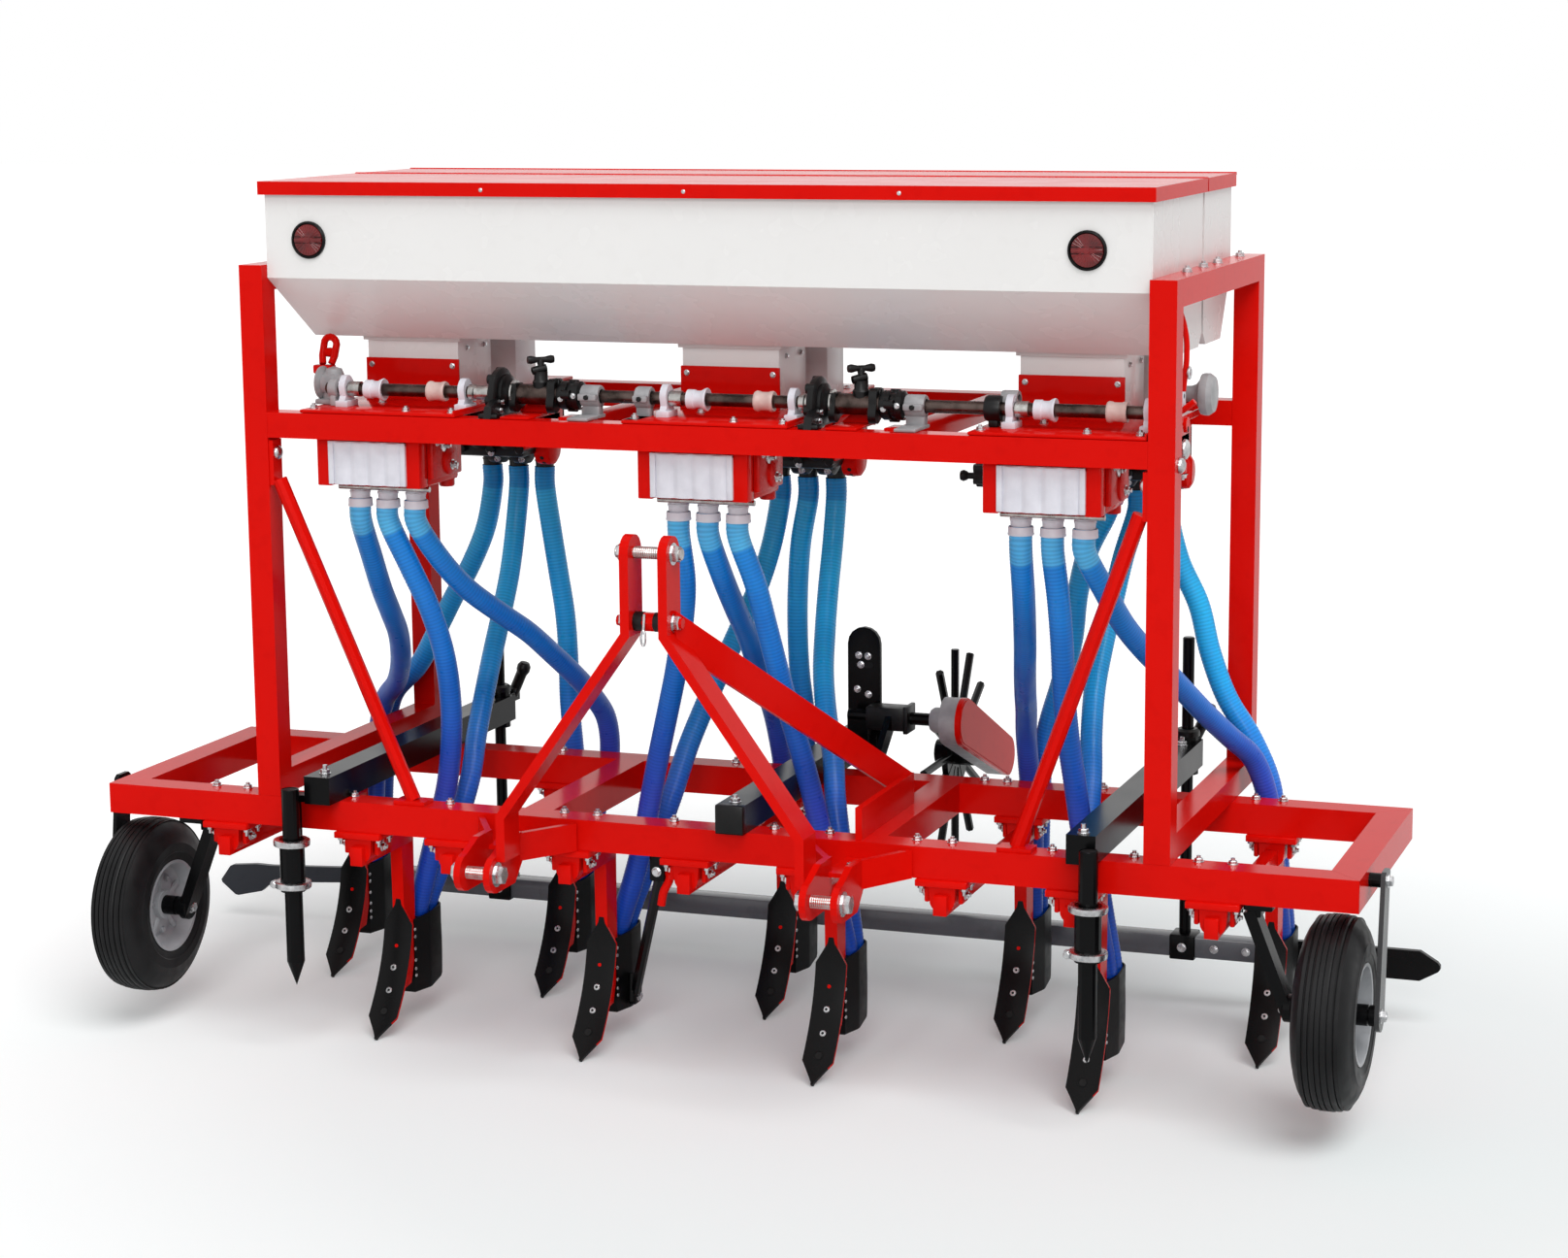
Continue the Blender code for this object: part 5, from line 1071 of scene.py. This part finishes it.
def hitch():
    ear_in, ear_out = PIN_X - 27.5, PIN_X + 27.5
    for word, sign in WORDS:
        pin = Shape(f"lower_pin_{word}", "frame", "dark_steel", STEEL)
        a, b = sorted((sign * (ear_in - 20.2), sign * (ear_out + 20.2)))
        pin.turned(thread(11.3, b - a), (a, PIN_Y, PIN_Z), RIGHT, 20).use(ZINC)
        pin.bolt((sign * (ear_in - 6), PIN_Y, PIN_Z), (-sign, 0, 0), 17)
        pin.bolt((sign * (ear_out + 6), PIN_Y, PIN_Z), (sign, 0, 0), 17).done()
        nut = Shape(f"lower_bracket_bolts_{word}", "frame", "dark_steel", ZINC)
        nut.bolt((sign * PIN_X, -60, -28), UP, 7).done()
    y, z, joint_z = -170, 505, 390
    top = Shape("top_pin", "frame", "dark_steel", STEEL)
    top.turned(thread(10.5, 116.6), (-58.3, y, z), RIGHT, 20).use(ZINC)
    for sign in SIDES:
        top.bolt((sign * 42, y, z), (sign, 0, 0), 15)
        top.bolt((sign * 42, y, joint_z), (sign, 0, 0), 13, 3)
    spacer = mirrored([(0, -26.2), (16.3, -26.2), (16.3, -10), (13, -7)])
    top.use(BLACK_CAST).turned(spacer, (0, y, joint_z), RIGHT, 24).use(ZINC)
    ring = [(4 * sin(a) - 4, -192, 366 + 13 * cos(a)) for a in spread(0, 2 * pi, 18)]
    top.sweep(ring, 1.8, 8)
    top.rod((-4, -192, 372), (-4, -186, 405), 2.8, 10).done()


hitch()


# Gauge wheels


def gauge_wheel(word, sign):
    at = Vector((sign * WHEEL_X, WHEEL_Y, WHEEL_Z))
    w, r, rim_r = WHEEL_WIDTH / 2, WHEEL_RADIUS, RIM_RADIUS
    tyre = Shape(f"tyre_{word}", f"gauge_wheel_{word}", "rubber", TYRE)
    half = [(rim_r - 2, w - 14), (rim_r, w - 7), (rim_r + 6, w - 3)]
    half += [(rim_r + 16, w - 1.5), (rim_r + 18, w), (rim_r + 34, w), (rim_r + 36, w - 1.5)]
    half += [(r - 30, w - 4.5), (r - 20, w - 9), (r - 11, w - 15), (r - 6.5, w - 20)]
    position = w - 23.5
    while position > 4:
        crown = r - 5 * (position / (w - 20)) ** 2
        steps = ((0, 4.5), (0, -1.4), (3, -1.8), (3, -3.2), (0, -3.6))
        half += [(crown - depth, position + step) for depth, step in steps]
        position -= 10.5
    tyre.turned([*mirrored(half), half[0]], at, (sign, 0, 0), 72).done(f"gauge_wheel_{word}", smooth=28)
    rim = Shape(f"rim_{word}", f"gauge_wheel_{word}", "grey_paint", RIM_GREY)
    half = [(rim_r + 1, 6 - w), (rim_r + 2, 3.5 - w), (rim_r - 4, 4 - w)]
    half += [(rim_r - 7, 14 - w), (rim_r - 10, -20), (60, -14), (42, -20)]
    half += [(28, -20), (26, -30), (10.9, -31)]
    rim.turned(mirrored(half), at, (sign, 0, 0), 56)
    for angle in around(5, 0.4):
        out, next_out = (Vector((0, cos(a), sin(a))) for a in (angle, angle + 0.62))
        for side in SIDES:
            spoke = at + Vector((side * 19, 0, 0)) + out * 26, at + Vector((side * 18.5, 0, 0)) + out * 68
            rim.sweep(spoke, 5.5, 8)
            rim.bolt(at + Vector((side * 16.5, 0, 0)) + next_out * 50, (side, 0, 0), 6.2)
    for side in SIDES:
        hub = at + Vector((side * 30, 0, 0))
        rim.use(BLACK).turned(sleeve(10.9, 17.8, 0, w - 26.5), hub, (side, 0, 0), 24)
    rim.done()


def fork(word, sign):
    # The right fork takes a lighter black than the left: painted light on its lit outer face.
    part = Shape(f"wheel_fork_{word}_plates", "frame", "black_paint", LIT_FORK_BLACK if sign > 0 else BLACK)
    hub_half = WHEEL_WIDTH / 2 + 5
    outside, inside = WHEEL_X + hub_half + FORK_REACH, WHEEL_X - hub_half - FORK_REACH
    y, z, top_x = WHEEL_Y, WHEEL_Z, FORK_TOP_X
    outline = arc(y + 6, z - 2, 26, spread(pi, 2 * pi, 8))
    outline += [(y + 58, -8), (y + 50, -2), (y + 20, -2), (y + 12, -8)]
    part.prism(outline, "X", sign * outside, sign * (outside + 8))
    part.use(BLACK).prism(arc(y, z, 21, around(20)), "X", sign * (inside - 10), sign * inside)
    slant = [(inside - 14.5, z - 15.5), (inside + 4, z - 9), (top_x + 9.5, -71.5)]
    slant += [(top_x - 9, -78.5)]
    part.prism([(sign * a, b) for a, b in slant], "Y", y - 20, y + 20)
    part.box((sign * (top_x - 2), 4, -65), (sign * (top_x + 45), y + 20, UNDER_BEAM))
    part.box((sign * (top_x - 3), y - 19, -85), (sign * (top_x + 20), y + 19, -60), 2)
    bolt_y, bolt_z = y + 36, -20
    part.rod((sign * 1150.5, bolt_y, bolt_z), (sign * (outside + 1), bolt_y, bolt_z), 12, 18)
    cap = [(0, 0), (21.5, 0), (23.5, 2), (23.5, 14), (21, 16), (0, 16)]
    part.turned(cap, (sign * (inside - 0.5), y, z), (-sign, 0, 0), 26)
    part.rod((sign * (inside - 10), y, z), (sign * (outside + 2), y, z), 10, 18)
    for near, far in ((WHEEL_X + hub_half, outside + 1), (inside - 1, WHEEL_X - hub_half)):
        part.rod((sign * near, y, z), (sign * far, y, z), 17.5, 24, 1)
    part.use(ZINC).bolt((sign * (outside + 8), bolt_y, bolt_z), (sign, 0, 0), 9.5)
    part.bolt((sign * (outside + 8), y, z), (sign, 0, 0), 10, 1)
    part.bolt((sign * (inside - 16.5), y, z), (-sign, 0, 0), 9.5).done(f"wheel_fork_{word}")


for word, sign in WORDS:
    gauge_wheel(word, sign)
    fork(word, sign)


# Stands, leveller and drive


def stand_fittings(word, sign):
    """Broad ring clamps round the stand's sleeve, bolts on the arm, and the lever behind."""
    x, y, arm = STAND_X[sign], STAND_Y, sign * ARM_X
    rings = Shape(f"stand_clamps_{word}", "frame", "dark_steel", ZINC)
    ring = [(22.6, -5.8), (30, -6.2), (32.5, -4.8), (33, 0), (32.5, 4.8)]
    for z in (-66, -143):
        rings.turned([*ring, (30, 6.2), (22.6, 5.8)], (x, y, z), (0.03, 0, 1), 40)
    rings.box((x - 38.5, y - 14, -149), (x - 24, y + 2, -137), 3.5)
    rings.bolt((x - 31, y - 14, -143), FORWARD, 6)
    rings.bolts([(arm, b, ARM_TOP) for b in (-6 if sign < 0 else -22, 500, 690)], UP, 8.5, 8)
    if sign < 0:
        rings.bolt((x + 30, -21, 14), UP, 6)
    rings.done()
    caps = Shape(f"stand_arm_caps_{word}", "frame", "black_paint", BLACK_CAST)
    collar = [(12, 0), (22.5, 0), (22.5, 10), (18, 14), (12, 14)]
    caps.turned(collar, (arm, ROD_Y, 59.5), UP, 24)
    lever = [(arm, ROD_Y + 60, 40), (arm + 10, ROD_Y + 62, 62), (arm + 26, ROD_Y + 60, 96)]
    caps.sweep(curve_points(lever, 5), 11, 12)
    grip = [(0, -14), (10, -12), (13.5, -4), (13.5, 6), (9, 13), (0, 15)]
    caps.turned(grip, lever[-1], (0.3, 0, 1), 18)
    root = [(0, 0), (12, 1), (14, 8), (9, 11), (0, 12)]
    caps.turned(root, (arm, ROD_Y + 54, 47.8), UP, 16).done()
    # The stand tube's open top: a dark disc of painted shadow for its hollow inside, under a black lip.
    mouth = Shape(f"stand_mouth_{word}", f"parking_stand_{word}", "black_paint", SHADOW_BLACK)
    mouth.turned([(12.8, 0), (12.8, 0.4), (0, 0.3)], (x, y, 30), UP, 24)
    lip = [(12.8, 0), (15.2, 0), (14.8, 1.2), (13.2, 1.2)]
    mouth.use(BLACK).turned(lip, (x, y, 30), UP, 24).done()


def leveller():
    y, z, half, shift = ROD_Y, LEVELLER_Z, LEVELLER_SIDE / 2, LEVELLER_SHIFT
    bar = Shape("leveller_tube", "leveller", "grey_paint", SLATE)
    low, high = (shift - LEVELLER_HALF, y - half, z - half), (shift + LEVELLER_HALF, y + half, z + half)
    bar.box(low, high, 3)
    left = [(384, -15), (119, -35), (94, -56), (39, -69), (32, -68), (2, -44)]
    left += [(0, -38), (22, -8), (28, -5), (81, 0.5), (119, 0), (384, 15)]
    right = [(-376, -14), (-316, -30), (-37, -30), (-4, -11), (0, -6), (0, 1)]
    right += [(-5, 7), (-37, 26), (-316, 26), (-376, 14)]
    for tip, blade, finish in ((-1346, left, GREY), (1176, right, BLADE)):
        bar.use(finish).prism([(tip + a, z + b) for a, b in blade], "Y", y - 6, y + 6)
    for sign in SIDES:
        x = sign * ARM_X
        bar.use(BLACK).rod((x, y, z), (x, y, 245), 11, 20, 2)
        bar.box((x - 24, y - 26, z - 24), (x + 24, y + 26, z + 24), 3)
        bar.use(ZINC).bolt((x, y - 26, z), FORWARD, 7)
        bar.bolts([(shift + sign * (LEVELLER_HALF - a), y - half, z) for a in (30, 90)], FORWARD, 6.5)
    bar.done("leveller_bar")


def arm_outline(pivot_radius, hub_radius):
    """The drive arm's outline in (y, z), with a round end about its pivot and about its hub."""
    angle = atan2(HUB_Z - PIVOT_Z, HUB_Y - PIVOT_Y)
    hub = arc(HUB_Y, HUB_Z, hub_radius, spread(angle - pi / 2, angle + pi / 2, 12))
    return hub + arc(PIVOT_Y, PIVOT_Z, pivot_radius, spread(angle + pi / 2, angle + 1.5 * pi, 12))


def drive():
    x, y, z = CASE_X, PIVOT_Y, PIVOT_Z
    case = Shape("chain_case", "drive_arm", "grey_paint", GREY_CAST)
    case.prism(arm_outline(44.5, 37.5), "X", x - 21.5, x + 12)
    boss = [(12.9, 0), (20, 0), (24, 6), (24, 36), (12.9, 37)]
    case.turned(boss, (x - 47, y, z), RIGHT, 24)
    case.use(RED).prism(arm_outline(45, 38), "X", x + 10, x + 20.5)
    case.prism(arm_outline(41, 34), "X", x + 20.3, x + 21.8).use(BLACK)
    for share, rise in ((-0.06, 0), (0.22, 26), (0.5, -22), (1.04, 0)):
        at = (x + 17, y + (HUB_Y - y) * share + rise * 0.4, z + (HUB_Z - z) * share + rise)
        case.bolt(at, RIGHT, 5.2, washer=False)
    case.rod((DRIVE_WHEEL_X - 40, HUB_Y, HUB_Z), (x - 20, HUB_Y, HUB_Z), 10, 20, 1)
    case.done("drive_arm")
    marks = Shape("carrier_fittings", "frame", "black_paint", SHADOW_BLACK)
    face = y + 29.7
    # The carrier's two slots are dark shapes of painted shadow.
    for b in (176, 194):
        slot = arc(113, b, 5.2, spread(-pi / 2, pi / 2, 6)) + arc(87, b, 5.2, spread(pi / 2, 1.5 * pi, 6))
        marks.prism(slot, "Y", face - 0.4, face + 1)
    places = ((90, 194), (108, 193), (94, 176), (87, 129), (109, 120))
    marks.use(ZINC).bolts([(a, face, b) for a, b in places], FORWARD, 5.6, 3)
    marks.bolts([(78, b, ARM_TOP) for b in (10, 500)], UP, 8.5, 5)
    marks.use(BLACK_CAST).box((52, -24, 1.2), (104, -6, 51.5), 4)
    marks.box((120, y - 22, z - 22), (196, y + 22, z + 22), 3)
    marks.box((194, y - 26, z - 26), (203, y + 26, z + 26), 2)
    cap = [(0, 0), (17, 0), (17, 12), (12.6, 14), (0, 14)]
    marks.turned(cap, (118, y, z), RIGHT, 20).done()


for word, sign in WORDS:
    stand_fittings(word, sign)
leveller()
drive()


# Tank, lids and frame fittings


def reflector(word, x):
    """A red lens with ribs in a black ring, with a bar across and a boss in its middle."""
    at = Vector((x, 19.9, 997))
    part = Shape(f"reflector_{word}", "frame", "black_paint", LENS_RING)
    ring = [(0, 0), (32.5, 0), (32.5, 4), (29, 5.5), (27.5, 3), (0, 3)]
    part.turned(ring, at, FORWARD, 40)
    part.use(LENS).turned([(27.5, 2.6), (26.8, 4.2), (0, 6.2)], at, FORWARD, 40)
    base = at - Vector((0, 4.6, 0))
    for angle in around(28):
        out = Vector((cos(angle), 0, sin(angle)))
        if abs(out.z) > 0.12:
            part.sweep([base + out * 10 - Vector((0, 0.8, 0)), base + out * 26.2], 0.9, 6)
    part.box((x - 26.2, 13.2, 994.5), (x + 26.2, 15, 999.5), 0.6)
    part.turned([(0, 7.8), (5, 7.4), (6, 5)], at, FORWARD, 20).use(LENS_RING)
    for z in (991.5, 1002.5):
        part.box((x - 26, 14.2, z - 0.7), (x + 26, 15.6, z + 0.7), 0.3)
    part.done()


def fittings():
    screws = Shape("lid_screws_front", "front_lid", "dark_steel", ZINC)
    for x in (-373, -2, 375):
        screws.dome((x, 8.1, 1086), FORWARD, 3.6, 1.2)
    screws.done()
    seams = Shape("tank_seams", "frame", "white_paint", WHITE)
    for x in (-793.5, 793.5):
        seams.sweep([(x, 21.2, 931), (x, 21.2, 1074)], 1.6, 8)
    seams.done()
    bolts = Shape("frame_bolts", "frame", "dark_steel", ZINC)
    front = (-949, -885, -668, -478, -256, -193, -48, 137, 238, 394, 456, 630, 770, 878, 935)
    rear = (-466, -112, 374, 417, 597, 875, 924)
    bolts.bolts([(x, 43, 0) for x in front] + [(x, 515, 0) for x in rear], UP, 7.2, 4)
    bolts.bolts([(side * 812, y, 953) for y in (190, 310, 420, 600) for side in SIDES], UP, 7.5, 4)
    for side in SIDES:
        bolts.dome((side * 787.3, 19, 622), (-side, 0, 0), 12.5, 9)
    bolts.dome((840.5, 30, 655), RIGHT, 13, 10)
    bolts.bolts([(x, 680.2, 672) for x in (-560, -50, 50, 560)], BACK, 7.5, 3).done()


reflector("left", -710)
reflector("right", 688)
fittings()


# Finishes of the parts that are shown as they are

for finish, starts in CAD_FINISH:
    for name, thing in nodes.items():
        if name.startswith(starts) and not thing.hide_render:
            thing.data.materials.clear()
            thing.data.materials.append(finish)
            edge = thing.modifiers.new("edges", "BEVEL")
            edge.width = 0.0018
            edge.segments = 2
            edge.limit_method = "ANGLE"
            edge.angle_limit = radians(40)
            edge.harden_normals = False


# Floor, backdrop and light


def stage():
    mesh = bpy.data.meshes.new("floor")
    mesh.from_pydata([(-40, -40, 0), (40, -40, 0), (40, 40, 0), (-40, 40, 0)], [], [(0, 1, 2, 3)])
    floor = bpy.data.objects.new("floor", mesh)
    bpy.context.scene.collection.objects.link(floor)
    n = Finish("floor")
    sockets = ((0, n.place), (1, (0.55, -0.25, 0.0)))
    distance = n.add("VectorMath", sockets, operation="DISTANCE").outputs["Value"]
    # Painted shade round the machine: near it the floor takes a cyan tint that cancels the red light
    # bouncing off the machine.
    tone = n.mix(n.span(distance, 1.0, 2.6), (0.785, 0.83, 0.83), (0.9, 0.9, 0.9))
    n.set(Base_Color=tone, Roughness=0.9, Specular_IOR_Level=0.0)
    # The glow for camera rays grows with distance from the machine: painted shade near it, painted light
    # further out.
    strength = n.maths("MULTIPLY", n.seen()[1], n.span(distance, 1.1, 2.6, 0.12, 0.33))
    glow = n.add("Emission", [("Strength", strength)]).outputs["Emission"]
    both = n.add("AddShader", ((0, n.shader.outputs["BSDF"]), (1, glow)))
    n.give(n.tree.nodes["Material Output"].inputs["Surface"], both.outputs[0])
    mesh.materials.append(n.owner)

    world = bpy.data.worlds.new("world")
    bpy.context.scene.world = world
    n = Nodes(world)
    rays, seen = n.seen()
    back = n.tree.nodes["Background"]
    n.give(back.inputs["Color"], (1, 1, 1))
    bright = n.maths("MAXIMUM", seen, rays["Is Glossy Ray"])
    n.give(back.inputs["Strength"], n.span(bright, 0.0, 1.0, 0.36, 1.0))

    suns = ("key", (0.38, -0.42, 0.86), 0.58, 42), ("low", (0.2, -0.9, 0.36), 0.28, 24)
    for name, direction, strength, angle in suns:
        data = bpy.data.lights.new(name, "SUN")
        data.energy = strength * pi
        data.angle = radians(angle)
        lamp = bpy.data.objects.new(name, data)
        lamp.rotation_mode = "QUATERNION"
        lamp.rotation_quaternion = Vector(direction).to_track_quat("Z", "Y")
        bpy.context.scene.collection.objects.link(lamp)
    bpy.context.scene.view_settings.view_transform = "Standard"


stage()
